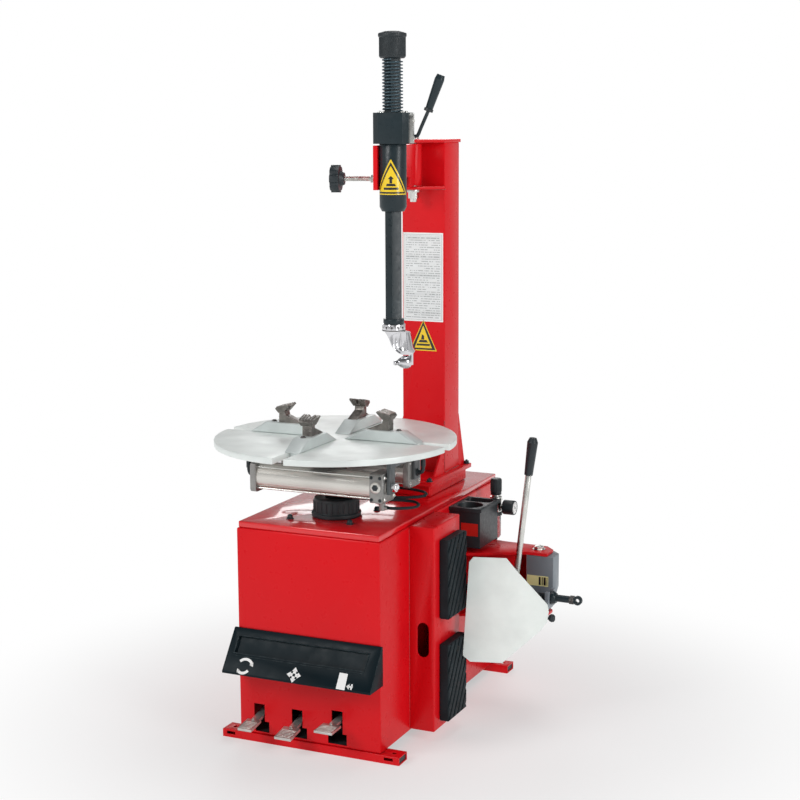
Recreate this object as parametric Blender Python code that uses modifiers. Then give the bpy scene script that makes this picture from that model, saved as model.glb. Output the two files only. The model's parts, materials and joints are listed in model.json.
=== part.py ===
"""Swing-arm tire changer with a bead breaker, as separate pieces on their joint axes.

Lengths are in metres and +Z is up. Positions are worked out in the cabinet's frame: x runs
from the cabinet's left side, y from its front panel towards the back, and z from the floor.
The empty "machine" then moves everything so that the origin lies on the floor, under the
middle of the machine's bounding box.
"""

import math

import bmesh
import bpy
from mathutils import Matrix, Vector

GAP = 0.0003  # clearance between pieces that touch

# Cabinet
CAB_W, CAB_D = 0.430, 0.854
CAB_BOTTOM, CAB_TOP = 0.0233, 0.6027
SHEET = 0.003
LID_TOP, LID_INSET = 0.6206, 0.004
RAIL_H, RAIL_DEPTH, RAIL_LEFT, RAIL_RIGHT = 0.023, 0.052, -0.055, 0.485
RAIL_FRONT = -0.004
SHAFT_HOLE_R = 0.045

# Wheel support on the right side
BOX_RIGHT, BOX_FRONT, BOX_REAR, BOX_BOTTOM, BOX_TOP = 0.504, 0.188, 0.370, 0.029, 0.607
PAD_T, PAD_FRONT, PAD_REAR = 0.029, 0.223, 0.353
PAD_LOW, PAD_HIGH = (0.0515, 0.272), (0.344, 0.567)

# Pedals: slot centre, pad width, pad tilt and height of the pad's middle
PEDALS = ((0.061, 0.042, 8.0, 0.072), (0.178, 0.050, 10.0, 0.067), (0.300, 0.054, 2.0, 0.095))
PEDAL_PIVOT_Y, PEDAL_PIVOT_Z, PEDAL_AXLE_R = 0.165, 0.100, 0.006

# Column and its foot
COL_LEFT, COL_RIGHT, COL_FRONT, COL_REAR = 0.226, 0.361, 0.600, 0.710
COL_WALL, COL_TOP = 0.005, 1.631
FOOT_TOP, FLANGE_T = 0.655, 0.012
FORK_T, FORK_LOW_Z = 0.008, 1.4985

# Swing arm, from the hub's axis towards the vertical shaft
HUB_X, HUB_Y, HUB_R = 0.2833, 0.555, 0.0235
ARM_LENGTH, ARM_ANGLE = 0.3577, -74.7
ARM_Z = (1.5095, 1.6275)
SLEEVE_R, SLEEVE_Z = 0.036, (1.4540, 1.6306)
BLOCK_Z, BLOCK_HALF = (1.6310, 1.7115), 0.047
HEX_FLATS, HEX_Z = 0.040, (1.1540, 1.8512)
BORE_R = 0.0238
SPRING_TURNS, SPRING_WIRE_R, SPRING_R = 15, 0.0020, 0.0266
CAP_Z = (1.8515, 1.9205)
HEAD_ROLLER, HEAD_ROLLER_TURN = (0.026, 0.008, 1.0518), 126.87  # from the shaft's axis

# Turntable
TABLE_X, TABLE_Y, TABLE_R = 0.218, 0.173, 0.3315
TABLE_TOP, TABLE_T = 0.8404, 0.0164
SLOT_HALF = 0.016
GUIDE_TOP = 0.8705
CYL_OFFSET, CYL_Z, CYL_R, CAP_HALF = 0.100, 0.738, 0.037, 0.040
CYL_LEFT, CYL_RIGHT = -0.1740, 0.1680  # the barrel's ends, along x from the table's axis
ROD_CAP_T, PLAIN_CAP_T = 0.036, 0.017
LUG_X = CYL_RIGHT + ROD_CAP_T + 0.0043  # near face of the lug that the rod pulls on
ELBOW_X = 0.1860  # along the cylinder, under the rod cap
ELBOW_Z = 0.6810
ELBOW_REACH = 0.0160
PORT_Z = 0.682  # air ports on the turning shaft

# Bead breaker
PIN_X, PIN_Y = 0.6597, 0.5941
PLATE_Z, PLATE_T = 0.460, 0.008  # underside and thickness of the bracket's upper plate
LOWER_PLATE_TOP = 0.2885
ARM_LOW, BEAM_TOP = 0.2900, 0.3445
BLADE_X, BLADE_Y, BLADE_ANGLE, BLADE_T = 0.5510, 0.3250, 20.0, 0.005
ROD_Y, ROD_Z, ROD_END_X = 0.490, 0.360, 0.826
CYL_PIN_X = 0.020
EAR_X = (0.066, 0.076)  # the ears that the rod pulls on, from the arm's pin

ORIGIN_X = (TABLE_X - TABLE_R + ROD_END_X) / 2
ORIGIN_Y = (TABLE_Y - TABLE_R + CAB_D + 0.004) / 2

COLORS = {  # material: (colour, roughness, metallic)
    "red_paint": ((0.62, 0.010, 0.018), 0.30, 0.0),
    "grey_paint": ((0.18, 0.20, 0.23), 0.45, 0.0),
    "black_paint": ((0.015, 0.017, 0.020), 0.40, 0.0),
    "black_plastic": ((0.018, 0.022, 0.026), 0.50, 0.0),
    "rubber": ((0.015, 0.016, 0.018), 0.75, 0.0),
    "zinc_steel": ((0.62, 0.62, 0.60), 0.35, 1.0),
    "table_steel": ((0.60, 0.64, 0.63), 0.40, 0.6),
    "blade_paint": ((0.62, 0.66, 0.64), 0.45, 0.2),
    "dark_steel": ((0.10, 0.10, 0.11), 0.45, 1.0),
    "chrome": ((0.80, 0.80, 0.81), 0.10, 1.0),
    "aluminium": ((0.66, 0.65, 0.62), 0.35, 1.0),
    "cast_iron": ((0.16, 0.17, 0.18), 0.60, 0.8),
    "motor_paint": ((0.10, 0.16, 0.24), 0.50, 0.0),
    "clear_plastic": ((0.80, 0.84, 0.84), 0.15, 0.0),
}

SEGMENTS = 32


def clear_scene():
    for item in list(bpy.data.objects):
        bpy.data.objects.remove(item, do_unlink=True)


def new_collection(name):
    collection = bpy.data.collections.new(name)
    bpy.context.scene.collection.children.link(collection)
    return collection


def material(name):
    found = bpy.data.materials.get(name)
    if found:
        return found
    colour, roughness, metallic = COLORS[name]
    made = bpy.data.materials.new(name)
    made.use_nodes = True
    shader = made.node_tree.nodes["Principled BSDF"]
    shader.inputs["Base Color"].default_value = (*colour, 1.0)
    shader.inputs["Roughness"].default_value = roughness
    shader.inputs["Metallic"].default_value = metallic
    made.diffuse_color = (*colour, 1.0)
    return made


clear_scene()
PARTS = new_collection("tire_changer")
HELPERS = new_collection("helpers")
HELPERS.hide_render = True


def axis_empty(name, location, parent=None, turn_deg=0.0):
    """An empty on a joint axis; pieces parented to it have their origin on that axis."""
    empty = bpy.data.objects.new(name, None)
    empty.empty_display_size = 0.05
    empty.location = location
    empty.rotation_euler.z = math.radians(turn_deg)
    empty.parent = parent
    PARTS.objects.link(empty)
    return empty


def add(name, mesh, colour, parent):
    """A finished piece when it has a colour, otherwise a helper for a Boolean."""
    obj = bpy.data.objects.new(name, mesh)
    obj.parent = parent
    if colour:
        PARTS.objects.link(obj)
        mesh.materials.append(material(colour))
    else:
        HELPERS.objects.link(obj)
        obj.hide_render = True
        obj.display_type = "WIRE"
    return obj


def smooth(obj, angle_deg=35.0):
    obj.data.shade_smooth()
    obj.data.set_sharp_from_angle(angle=math.radians(angle_deg))
    return obj


def bevel(obj, width, segments=1):
    modifier = obj.modifiers.new("bevel", "BEVEL")
    modifier.width = width
    modifier.segments = segments
    modifier.limit_method = "ANGLE"
    modifier.angle_limit = math.radians(40)
    return obj


def boolean(obj, others, operation):
    for other in others:
        modifier = obj.modifiers.new(operation.lower(), "BOOLEAN")
        modifier.operation = operation
        modifier.solver = "EXACT"
        modifier.object = other
    return obj


def cut(obj, *others):
    return boolean(obj, others, "DIFFERENCE")


def join(obj, *others):
    return boolean(obj, others, "UNION")


def block(name, low, high, colour, parent, taper=None):
    """A box between two corners. taper scales its top face as (x, y)."""
    low, high = Vector(low), Vector(high)
    mesh = bpy.data.meshes.new(name)
    shape = bmesh.new()
    bmesh.ops.create_cube(shape, size=1.0)
    for vertex in shape.verts:
        if taper and vertex.co.z > 0:
            vertex.co.x *= taper[0]
            vertex.co.y *= taper[1]
        vertex.co = Vector((vertex.co[i] * (high - low)[i] + (low + high)[i] / 2 for i in range(3)))
    shape.to_mesh(mesh)
    shape.free()
    return add(name, mesh, colour, parent)


def turn_to(axis):
    return Vector((0, 0, 1)).rotation_difference(Vector(axis).normalized()).to_matrix().to_4x4()


def rod(name, start, end, radius, colour, parent, segments=SEGMENTS, end_radius=None, spin=0.0):
    """A cylinder or cone between two points."""
    start, end = Vector(start), Vector(end)
    mesh = bpy.data.meshes.new(name)
    shape = bmesh.new()
    bmesh.ops.create_cone(
        shape,
        cap_ends=True,
        segments=segments,
        radius1=radius,
        radius2=radius if end_radius is None else end_radius,
        depth=(end - start).length,
        matrix=Matrix.Translation((start + end) / 2) @ turn_to(end - start) @ Matrix.Rotation(spin, 4, "Z"),
    )
    shape.to_mesh(mesh)
    shape.free()
    return smooth(add(name, mesh, colour, parent))


def turned(name, profile, centre, axis, colour, parent, segments=SEGMENTS):
    """A closed turned shape: (radius, height) points from the top down its outer side."""
    mesh = bpy.data.meshes.new(name)
    shape = bmesh.new()
    points = [shape.verts.new((radius, 0, height)) for radius, height in profile]
    pairs = list(zip(points, points[1:]))
    if profile[0][0] > 0:
        pairs.append((points[-1], points[0]))
    for first, second in pairs:
        shape.edges.new((first, second))
    shape.to_mesh(mesh)
    shape.free()
    obj = add(name, mesh, colour, parent)
    obj.location = centre
    obj.rotation_euler = turn_to(axis).to_euler()
    screw = obj.modifiers.new("screw", "SCREW")
    screw.steps = screw.render_steps = segments
    screw.use_merge_vertices = True
    screw.merge_threshold = 0.00002
    screw.use_smooth_shade = False
    return obj


def solid_from_curve(name, curve, colour, parent, matrix=None):
    """Makes a mesh object from a curve and welds its caps."""
    temporary = bpy.data.objects.new(name + "_curve", curve)
    bpy.context.scene.collection.objects.link(temporary)
    graph = bpy.context.evaluated_depsgraph_get()
    mesh = bpy.data.meshes.new_from_object(temporary.evaluated_get(graph))
    mesh.name = name
    bpy.data.objects.remove(temporary, do_unlink=True)
    shape = bmesh.new()
    shape.from_mesh(mesh)
    bmesh.ops.remove_doubles(shape, verts=shape.verts, dist=0.00001)
    if matrix:
        bmesh.ops.transform(shape, matrix=matrix, verts=shape.verts)
    shape.to_mesh(mesh)
    shape.free()
    mesh.materials.clear()
    return smooth(add(name, mesh, colour, parent))


def plate(name, outlines, span, axis, colour, parent):
    """A flat plate along an axis. Its outline is (y, z), (x, z) or (x, y) for X, Y or Z."""
    curve = bpy.data.curves.new(name, "CURVE")
    curve.dimensions = "2D"
    curve.fill_mode = "BOTH"
    curve.extrude = (span[1] - span[0]) / 2
    for outline in outlines:
        spline = curve.splines.new("POLY")
        spline.points.add(len(outline) - 1)
        for point, (u, v) in zip(spline.points, outline):
            point.co = (u, v, 0, 1)
        spline.use_cyclic_u = True
    middle = (span[0] + span[1]) / 2
    columns = {
        "X": ((0, 1, 0), (0, 0, 1), (1, 0, 0)),
        "Y": ((1, 0, 0), (0, 0, 1), (0, -1, 0)),
        "Z": ((1, 0, 0), (0, 1, 0), (0, 0, 1)),
    }[axis]
    matrix = Matrix([[*row, 0] for row in zip(*columns)] + [[0, 0, 0, 1]])
    matrix.translation = Vector(columns[2]) * (-middle if axis == "Y" else middle)
    return solid_from_curve(name, curve, colour, parent, matrix)


def tube(name, points, radius, colour, parent, resolution=2):
    curve = bpy.data.curves.new(name, "CURVE")
    curve.dimensions = "3D"
    curve.bevel_depth = radius
    curve.bevel_resolution = resolution
    curve.use_fill_caps = True
    spline = curve.splines.new("POLY")
    spline.points.add(len(points) - 1)
    for point, place in zip(spline.points, points):
        point.co = (*place, 1)
    return solid_from_curve(name, curve, colour, parent)


def arc(centre, radius, start_deg, end_deg, steps=8):
    angles = [math.radians(start_deg + (end_deg - start_deg) * i / steps) for i in range(steps + 1)]
    return [(centre[0] + radius * math.cos(a), centre[1] + radius * math.sin(a)) for a in angles]


def rounded_box(low, high, radius, steps=3):
    """A rectangle with round corners, as an outline."""
    outline = []
    corners = ((high[0], high[1], 0), (low[0], high[1], 90), (low[0], low[1], 180), (high[0], low[1], 270))
    for x, y, start in corners:
        centre = (x - radius if x == high[0] else x + radius, y - radius if y == high[1] else y + radius)
        outline += arc(centre, radius, start, start + 90, steps)
    return outline


def smooth_path(points, steps):
    """Catmull-Rom points through a route, for hoses and bent rods."""
    route = [Vector(p) for p in points]
    route = [2 * route[0] - route[1], *route, 2 * route[-1] - route[-2]]
    path = []
    for a, b, c, d in zip(route, route[1:], route[2:], route[3:]):
        for i in range(steps):
            t = i / steps
            path.append(
                0.5 * (2 * b + (c - a) * t + (2 * a - 5 * b + 4 * c - d) * t**2 + (3 * b - a - 3 * c + d) * t**3)
            )
    return path + [route[-2]]


def hexagon(radius):
    return arc((0, 0), radius, 0, 300, 5)


def cabinet(root):
    shell = block("cabinet_shell", (0, 0, CAB_BOTTOM), (CAB_W, CAB_D, CAB_TOP), "red_paint", root)
    bevel(shell, 0.004, 2)
    inner = block(
        "cabinet_inner", (SHEET, SHEET, -0.01), (CAB_W - SHEET, CAB_D - SHEET, CAB_TOP - SHEET), None, root
    )
    cutters = [inner, rod("cabinet_hole", (TABLE_X, TABLE_Y, 0.5), (TABLE_X, TABLE_Y, 0.7), 0.070, None, root)]
    for index, (x, _, _, height) in enumerate(PEDALS):
        narrow, wide = 0.0165, 0.0285 if index == 2 else 0.022
        low = 0.030
        top = 0.110 if height < 0.09 else 0.125
        shift = 0.008 if index < 2 else 0.0
        cutters.append(block(f"slot_{index}", (x - narrow, -0.01, 0.05), (x + narrow, 0.01, top), None, root))
        cutters.append(
            block(f"wide_{index}", (x - wide + shift, -0.011, low), (x + wide + shift, 0.011, 0.061), None, root)
        )
    cutters.append(
        block("rod_opening", (CAB_W - 0.01, ROD_Y - 0.03, ROD_Z - 0.03), (CAB_W + 0.01, ROD_Y + 0.055, ROD_Z + 0.03),
              None, root)
    )
    for row in range(6):
        z = 0.36 + 0.025 * row
        cutters.append(block(f"vent_{row}", (0.13, CAB_D - 0.01, z), (0.30, CAB_D + 0.01, z + 0.008), None, root))
    cut(shell, *cutters)
    clevis = []
    for index, z in enumerate((ROD_Z - 0.032, ROD_Z + 0.022)):
        clevis.append(block(f"clevis_{index}", (0.001, ROD_Y - 0.018, z), (0.036, ROD_Y + 0.018, z + 0.010), None, root))
    clevis.append(
        rod("clevis_pin", (CYL_PIN_X, ROD_Y, ROD_Z - 0.036), (CYL_PIN_X, ROD_Y, ROD_Z + 0.036), 0.0060, None, root, 20)
    )
    join(shell, *clevis)

    lid = block(
        "top_plate", (LID_INSET, LID_INSET, CAB_TOP + GAP), (CAB_W - LID_INSET, CAB_D - LID_INSET, LID_TOP),
        "red_paint", root,
    )
    bevel(lid, 0.003, 2)
    hollow = block(
        "lid_inner", (0.007, 0.007, CAB_TOP - 0.01), (CAB_W - 0.007, CAB_D - 0.007, LID_TOP - SHEET), None, root
    )
    hole = rod("lid_hole", (TABLE_X, TABLE_Y, 0.59), (TABLE_X, TABLE_Y, 0.64), SHAFT_HOLE_R, None, root)
    cut(lid, hollow, hole)

    for name, front in (("front_rail", RAIL_FRONT), ("rear_rail", CAB_D + 0.004 - RAIL_DEPTH)):
        rail = block(name, (RAIL_LEFT, front, 0), (RAIL_RIGHT, front + RAIL_DEPTH, RAIL_H), "red_paint", root)
        bore = block(
            name + "_bore", (RAIL_LEFT - 0.01, front + SHEET, SHEET),
            (RAIL_RIGHT + 0.01, front + RAIL_DEPTH - SHEET, RAIL_H - SHEET), None, root,
        )
        slots = []
        outer = front if name == "front_rail" else front + RAIL_DEPTH
        for index, x in enumerate((RAIL_LEFT + 0.026, RAIL_RIGHT - 0.032)):
            slots.append(
                block(f"{name}_slot_{index}", (x - 0.013, outer - 0.01, 0.0095), (x + 0.013, outer + 0.01, 0.0175),
                      None, root)
            )
            bolt_x = (RAIL_LEFT + 0.026, RAIL_RIGHT - 0.026)[index]
            slots.append(
                rod(f"{name}_bolt_hole_{index}", (bolt_x, front + 0.027, 0.012), (bolt_x, front + 0.027, 0.03),
                    0.006, None, root, 16)
            )
        cut(rail, bore, *slots)


def wheel_support(root):
    low, high = (CAB_W + GAP, BOX_FRONT, BOX_BOTTOM), (BOX_RIGHT, BOX_REAR, BOX_TOP)
    box = bevel(block("wheel_support_box", low, high, "red_paint", root), 0.003, 2)
    inner = block(
        "wheel_box_inner", (CAB_W - 0.01, BOX_FRONT + SHEET, BOX_BOTTOM + SHEET),
        (BOX_RIGHT - SHEET, BOX_REAR - SHEET, BOX_TOP - SHEET), None, root,
    )
    slot_outline = arc((0.471, 0.3215), 0.017, 0, 180) + arc((0.471, 0.2575), 0.017, 180, 360)
    slot = plate("wheel_box_slot", [slot_outline], (BOX_FRONT - 0.01, BOX_FRONT + 0.01), "Y", None, root)
    cut(box, inner, slot)
    for name, (bottom, top) in (("lower_wheel_pad", PAD_LOW), ("upper_wheel_pad", PAD_HIGH)):
        start = BOX_RIGHT + GAP
        pad = block(name, (start, PAD_FRONT, bottom), (start + PAD_T, PAD_REAR, top), "rubber", root)
        bevel(pad, 0.003, 1)
        grooves = []
        for index in range(9):
            y = PAD_FRONT - 0.138 + 0.030 * index
            outline = [(y, bottom - 0.02), (y + 0.010, bottom - 0.02), (y + 0.174, top + 0.02), (y + 0.164, top + 0.02)]
            grooves.append(
                plate(f"{name}_groove_{index}", [outline], (start + PAD_T - 0.004, start + PAD_T + 0.01), "X", None,
                      root)
            )
        cut(pad, *grooves)


def console(root):
    """Moulded cover over the pedals, with a tray pressed into its sloping face."""
    top, bottom, reach, left, right = 0.323, 0.215, 0.080, -0.008, 0.438
    rear = -GAP
    outer = [(rear, bottom), (rear, top), (-0.006, top), (-reach, bottom + 0.006), (-reach, bottom)]
    body = plate("pedal_console", [outer], (left, right), "X", "black_plastic", root)
    inner = [(0.01, bottom - 0.01), (0.01, top - 0.0185), (-0.0020, top - 0.0185), (-reach + 0.015, bottom + 0.003),
             (-reach + 0.015, bottom - 0.01)]
    hollow = plate("console_inner", [inner], (left + 0.004, right - 0.004), "X", None, root)
    chamfer = plate(
        "console_chamfer", [[(right - 0.011, -0.12), (right + 0.02, -0.12), (right + 0.02, -0.030)]],
        (bottom - 0.02, top + 0.02), "Z", None, root,
    )
    pocket_outline = [(-0.0125, 0.3005), (-0.0271, 0.3111), (-0.0564, 0.2707), (-0.0418, 0.2601)]
    pocket = plate("console_pocket", [pocket_outline], (0.013, 0.407), "X", None, root)
    cut(body, hollow, chamfer, pocket)


def tool_tray(root):
    left, right, front, rear, top, bottom = CAB_W + GAP, 0.531, 0.465, 0.614, 0.600, 0.484
    body = block(
        "tool_tray", (left, front + 0.005, bottom), (right - 0.006, rear - 0.003, top - 0.008), "black_plastic", root
    )
    rim = block("tray_rim", (left, front, top - 0.010), (right, rear, top), None, root)
    cup = rod("tray_cup", (0.478, 0.510, 0.500), (0.478, 0.510, 0.62), 0.036, None, root)
    bin_outline = rounded_box((0.440, 0.556), (0.520, 0.603), 0.008)
    pocket = plate("tray_bin", [bin_outline], (0.500, 0.62), "Z", None, root)
    join(body, rim)
    cut(body, cup, pocket)


def column(root):
    foot = block("column_foot", (0.214, 0.470, LID_TOP + GAP), (0.370, 0.745, FOOT_TOP), "red_paint", root)
    inner = block("foot_inner", (0.220, 0.476, 0.60), (0.364, 0.739, FOOT_TOP - 0.006), None, root)
    cut(bevel(foot, 0.003), inner)

    bottom = FOOT_TOP + GAP
    tube_box = block(
        "column", (COL_LEFT, COL_FRONT, bottom), (COL_RIGHT, COL_REAR, COL_TOP), "red_paint", root
    )
    bevel(tube_box, 0.004, 2)
    flange = block("column_flange", (0.204, 0.455, bottom), (0.380, 0.762, bottom + FLANGE_T), None, root)
    rib_low, rib_high = bottom + FLANGE_T - 0.001, bottom + FLANGE_T + 0.16
    ribs = []
    for index, x in enumerate((COL_LEFT, COL_RIGHT - 0.006)):
        front_rib = [(0.520, rib_low), (COL_FRONT + 0.002, rib_low), (COL_FRONT + 0.002, rib_high), (0.572, rib_low + 0.06)]
        rear_rib = [(0.755, rib_low), (COL_REAR - 0.002, rib_low), (COL_REAR - 0.002, rib_high)]
        ribs.append(plate(f"front_rib_{index}", [front_rib], (x, x + 0.006), "X", None, root))
        ribs.append(plate(f"rear_rib_{index}", [rear_rib], (x, x + 0.006), "X", None, root))
    tongue = [(COL_LEFT - 0.003, COL_REAR + 0.002), (COL_LEFT - 0.003, COL_FRONT - 0.010),
              *arc((HUB_X, HUB_Y), 0.036, 200, 340), (COL_RIGHT + 0.003, COL_FRONT - 0.010),
              (COL_RIGHT + 0.003, COL_REAR + 0.002)]
    upper = plate("fork_upper", [tongue], (COL_TOP - 0.001, COL_TOP + FORK_T), "Z", None, root)
    shelf_outline = [point for point in tongue if point[1] < COL_FRONT]
    shelf_outline = [(COL_LEFT + 0.001, COL_FRONT + 0.002), *shelf_outline, (COL_RIGHT - 0.001, COL_FRONT + 0.002)]
    lower = plate("fork_lower", [shelf_outline], (FORK_LOW_Z, FORK_LOW_Z + FORK_T), "Z", None, root)
    hollow = block(
        "column_inner", (COL_LEFT + COL_WALL, COL_FRONT + COL_WALL, 0.64),
        (COL_RIGHT - COL_WALL, COL_REAR - COL_WALL, COL_TOP - 0.004), None, root,
    )
    pin = rod("fork_bore", (HUB_X, HUB_Y, 1.45), (HUB_X, HUB_Y, 1.70), 0.0103, None, root)
    join(tube_box, flange, *ribs, upper, lower)
    cut(tube_box, hollow, pin)

    bolt = rod("arm_pivot_bolt", (HUB_X, HUB_Y, 1.4625), (HUB_X, HUB_Y, COL_TOP + 0.0175), 0.010, "zinc_steel", root)
    washer = rod("pivot_washer", (HUB_X, HUB_Y, 1.4900), (HUB_X, HUB_Y, FORK_LOW_Z - GAP), 0.019, None, root)
    nut = rod("pivot_nut", (HUB_X, HUB_Y, 1.4725), (HUB_X, HUB_Y, 1.4905), 0.0155, None, root, 6)
    head = rod("pivot_head", (HUB_X, HUB_Y, COL_TOP + FORK_T + GAP), (HUB_X, HUB_Y, COL_TOP + 0.0165), 0.0165, None,
               root, 6)
    join(bolt, washer, nut, head)


def swing_arm(root):
    """The arm's frame: x from the hub towards the shaft, y to the right seen from the front."""
    arm = axis_empty("arm_axis", (HUB_X, HUB_Y, 0), root, ARM_ANGLE)
    low, high = ARM_Z
    hub = rod("swing_arm", (0, 0, low), (0, 0, high), HUB_R, "red_paint", arm)
    length = ARM_LENGTH
    beam_outline = [(0.012, -0.020), (0.012, 0.008), (length - 0.030, 0.024), (length - 0.012, 0.024),
                    (length - 0.012, -0.030), (length + 0.020, -0.039), (length + 0.020, -0.050),
                    (length - 0.070, -0.050)]
    beam = plate("arm_beam", [beam_outline], (low + 0.0005, high - 0.001), "Z", None, arm)
    seat = rod("arm_seat", (length, 0, low - 0.02), (length, 0, high + 0.02), SLEEVE_R + GAP, None, arm)
    bore = rod("hub_bore", (0, 0, low - 0.02), (0, 0, high + 0.02), 0.0103, None, arm)
    notch = block("arm_notch", (length - 0.20, -0.060, low - 0.01), (length - 0.060, 0.06, low + 0.030), None, arm)
    screw_hole = rod("screw_hole", (length - 0.002, -0.06, 1.5395), (length - 0.002, -0.03, 1.5395), 0.0063, None, arm, 16)
    hollow_outline = [(0.040, -0.018), (0.040, 0.004), (length - 0.055, 0.017), (length - 0.055, -0.041)]
    hollow = plate("arm_hollow", [hollow_outline], (low - 0.01, high - 0.008), "Z", None, arm)
    join(hub, beam)
    cut(hub, seat, bore, notch, screw_hole, hollow)

    bottom, top = SLEEVE_Z
    turned(
        "shaft_sleeve",
        [(BORE_R, top), (SLEEVE_R, top), (SLEEVE_R, bottom + 0.012), (0.030, bottom), (BORE_R, bottom)],
        (length, 0, 0), (0, 0, 1), "black_paint", arm, 40,
    )
    bottom, top = BLOCK_Z
    half, corner = BLOCK_HALF, 0.014
    outline = [(half, -half + corner), (half, half - corner), (half - corner, half), (-half - 0.006, half),
               (-half - 0.006, -half), (half - corner, -half)]
    outline = [(length + x, y) for x, y in outline]
    lock = plate("lock_block", [outline], (bottom, top), "Z", "black_paint", arm)
    cut(lock, rod("block_bore", (length, 0, 1.6), (length, 0, 1.75), BORE_R, None, arm))
    shaft_group(arm)
    lock_lever(arm)
    adjusting_knob(arm)


def shaft_group(arm):
    shaft_axis = axis_empty("shaft_axis", (ARM_LENGTH, 0, 0), arm)
    corner = HEX_FLATS / math.sqrt(3)
    bottom, top = HEX_Z
    shaft = plate("vertical_shaft", [hexagon(corner)], (bottom, top), "Z", "black_paint", shaft_axis)
    collar = rod("shaft_collar", (0, 0, bottom + 0.0002), (0, 0, bottom + 0.0140), 0.028, None, shaft_axis)
    join(shaft, collar)
    low, high = BLOCK_Z[1] + GAP, CAP_Z[0] - GAP
    steps = 10
    count = SPRING_TURNS * steps
    rise = high - low - 2 * SPRING_WIRE_R - 0.0004
    coil = []
    for i in range(count + 1):
        angle = 2 * math.pi * i / steps
        height = low + SPRING_WIRE_R + 0.0002 + rise * i / count
        coil.append((SPRING_R * math.cos(angle), SPRING_R * math.sin(angle), height))
    tube("return_spring", coil, SPRING_WIRE_R, "black_paint", shaft_axis, 1)
    low, high = CAP_Z
    turned(
        "shaft_cap",
        [(0, high), (0.020, high), (0.037, high - 0.005), (0.037, high - 0.014), (0.0345, high - 0.016),
         (0.0345, low + 0.003), (0.0315, low), (0, low)],
        (0, 0, 0), (0, 0, 1), "black_plastic", shaft_axis, 36,
    )
    mount_head(shaft_axis)


def mount_head(shaft_axis):
    """Cast head: a flange under the shaft's collar, a leaning body, a horn and a roller."""
    ring_low = 1.1345
    head = rod("mount_head", (0, 0, ring_low), (0, 0, HEX_Z[0] - GAP), 0.0310, "chrome", shaft_axis)
    outline = [(-0.024, ring_low + 0.001), (-0.017, 1.1255), (-0.010, 1.1120), (-0.005, 1.0975), (0.003, 1.0860),
               (0.014, 1.0760), (0.024, 1.0722), (0.044, 1.0722), (0.055, 1.0760), (0.057, 1.0820), (0.051, 1.0900),
               (0.045, 1.1250), (0.042, 1.1325), (0.022, ring_low + 0.001)]
    body = plate("head_body", [outline], (-0.014, 0.014), "X", None, shaft_axis)
    horn_path = smooth_path([(-0.004, 0.006, 1.112), (-0.016, 0.004, 1.094), (-0.030, 0.010, 1.080),
                             (-0.046, 0.024, 1.074), (-0.060, 0.040, 1.078)], 4)
    horn = tube("head_horn", horn_path, 0.0085, None, shaft_axis, 2)
    roller_axis = axis_empty("roller_axis", HEAD_ROLLER, shaft_axis, HEAD_ROLLER_TURN)
    axle = rod("head_axle", (-0.002, 0, 0), (0.048, 0, 0), 0.0035, None, roller_axis, 16)
    bolt = rod("head_bolt", (-0.0035, 0, 0), (0.0060, 0, 0), 0.0072, None, roller_axis, 6)
    lug = block("head_lug", (0.0446, -0.008, -0.008), (0.0500, 0.008, 0.029), None, roller_axis)
    join(head, body, horn, axle, bolt, lug)
    face = 0.0150
    grooves = [
        smooth_path([(face, 0.001, 1.126), (face, 0.002, 1.100), (face, 0.006, 1.088), (face, 0.020, 1.077)], 4),
        smooth_path([(face, 0.011, 1.122), (face, 0.0115, 1.102), (face, 0.015, 1.092), (face, 0.025, 1.084)], 4),
    ]
    cutters = [tube(f"head_groove_{i}", path, 0.0022, None, shaft_axis, 1) for i, path in enumerate(grooves)]
    cutters.append(rod("head_scoop", (0.019, 0.033, 1.084), (0.021, 0.030, 1.133), 0.0105, None, shaft_axis, 20))
    cutters.append(rod("head_recess", (0.0115, 0.0215, 1.0945), (0.02, 0.0215, 1.0945), 0.0042, None, shaft_axis, 16))
    for index in range(5):
        angle = math.radians(-60 + 30 * index)
        x, y = 0.0325 * math.cos(angle), 0.0325 * math.sin(angle)
        cutters.append(
            rod(f"head_screw_{index}", (x * 0.9, y * 0.9, 1.1460), (x * 1.1, y * 1.1, 1.1460), 0.0032, None, shaft_axis, 12)
        )
    cut(head, *cutters)
    turned(
        "head_roller",
        [(0.0039, 0.0440), (0.0115, 0.0440), (0.0160, 0.0405), (0.0180, 0.0345), (0.0172, 0.0260), (0.0130, 0.0160),
         (0.0068, 0.0070), (0.0039, 0.0070)],
        (0, 0, 0), (1, 0, 0), "chrome", roller_axis, 32,
    )


def lock_lever(arm):
    """Cam lever that locks the vertical shaft; it turns about a level axis beside the block."""
    axis_at = Vector((ARM_LENGTH - 0.012, 0, 1.650))
    pivot = axis_empty("lever_axis", axis_at, arm)
    start = BLOCK_HALF + GAP
    route = [(0, start, 0), (0, start + 0.010, 0), (0, start + 0.018, 0.004), (0, 0.074, 0.024), (0, 0.0955, 0.072)]
    lever = tube("lock_lever", smooth_path(route, 4), 0.0048, "black_paint", pivot, 3)
    grip_path = [(0.0925, 0.0650), (0.1265, 0.1580)]
    low = Vector((0, grip_path[0][0], grip_path[0][1]))
    high = Vector((0, grip_path[1][0], grip_path[1][1]))
    along = (high - low).normalized()
    grip = rod("lever_grip_body", low, high - along * 0.012, 0.0098, None, pivot, 24, 0.0130)
    tip = rod("lever_grip_tip", high - along * 0.0125, high, 0.0130, None, pivot, 24, 0.0105)
    join(lever, grip, tip)


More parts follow.
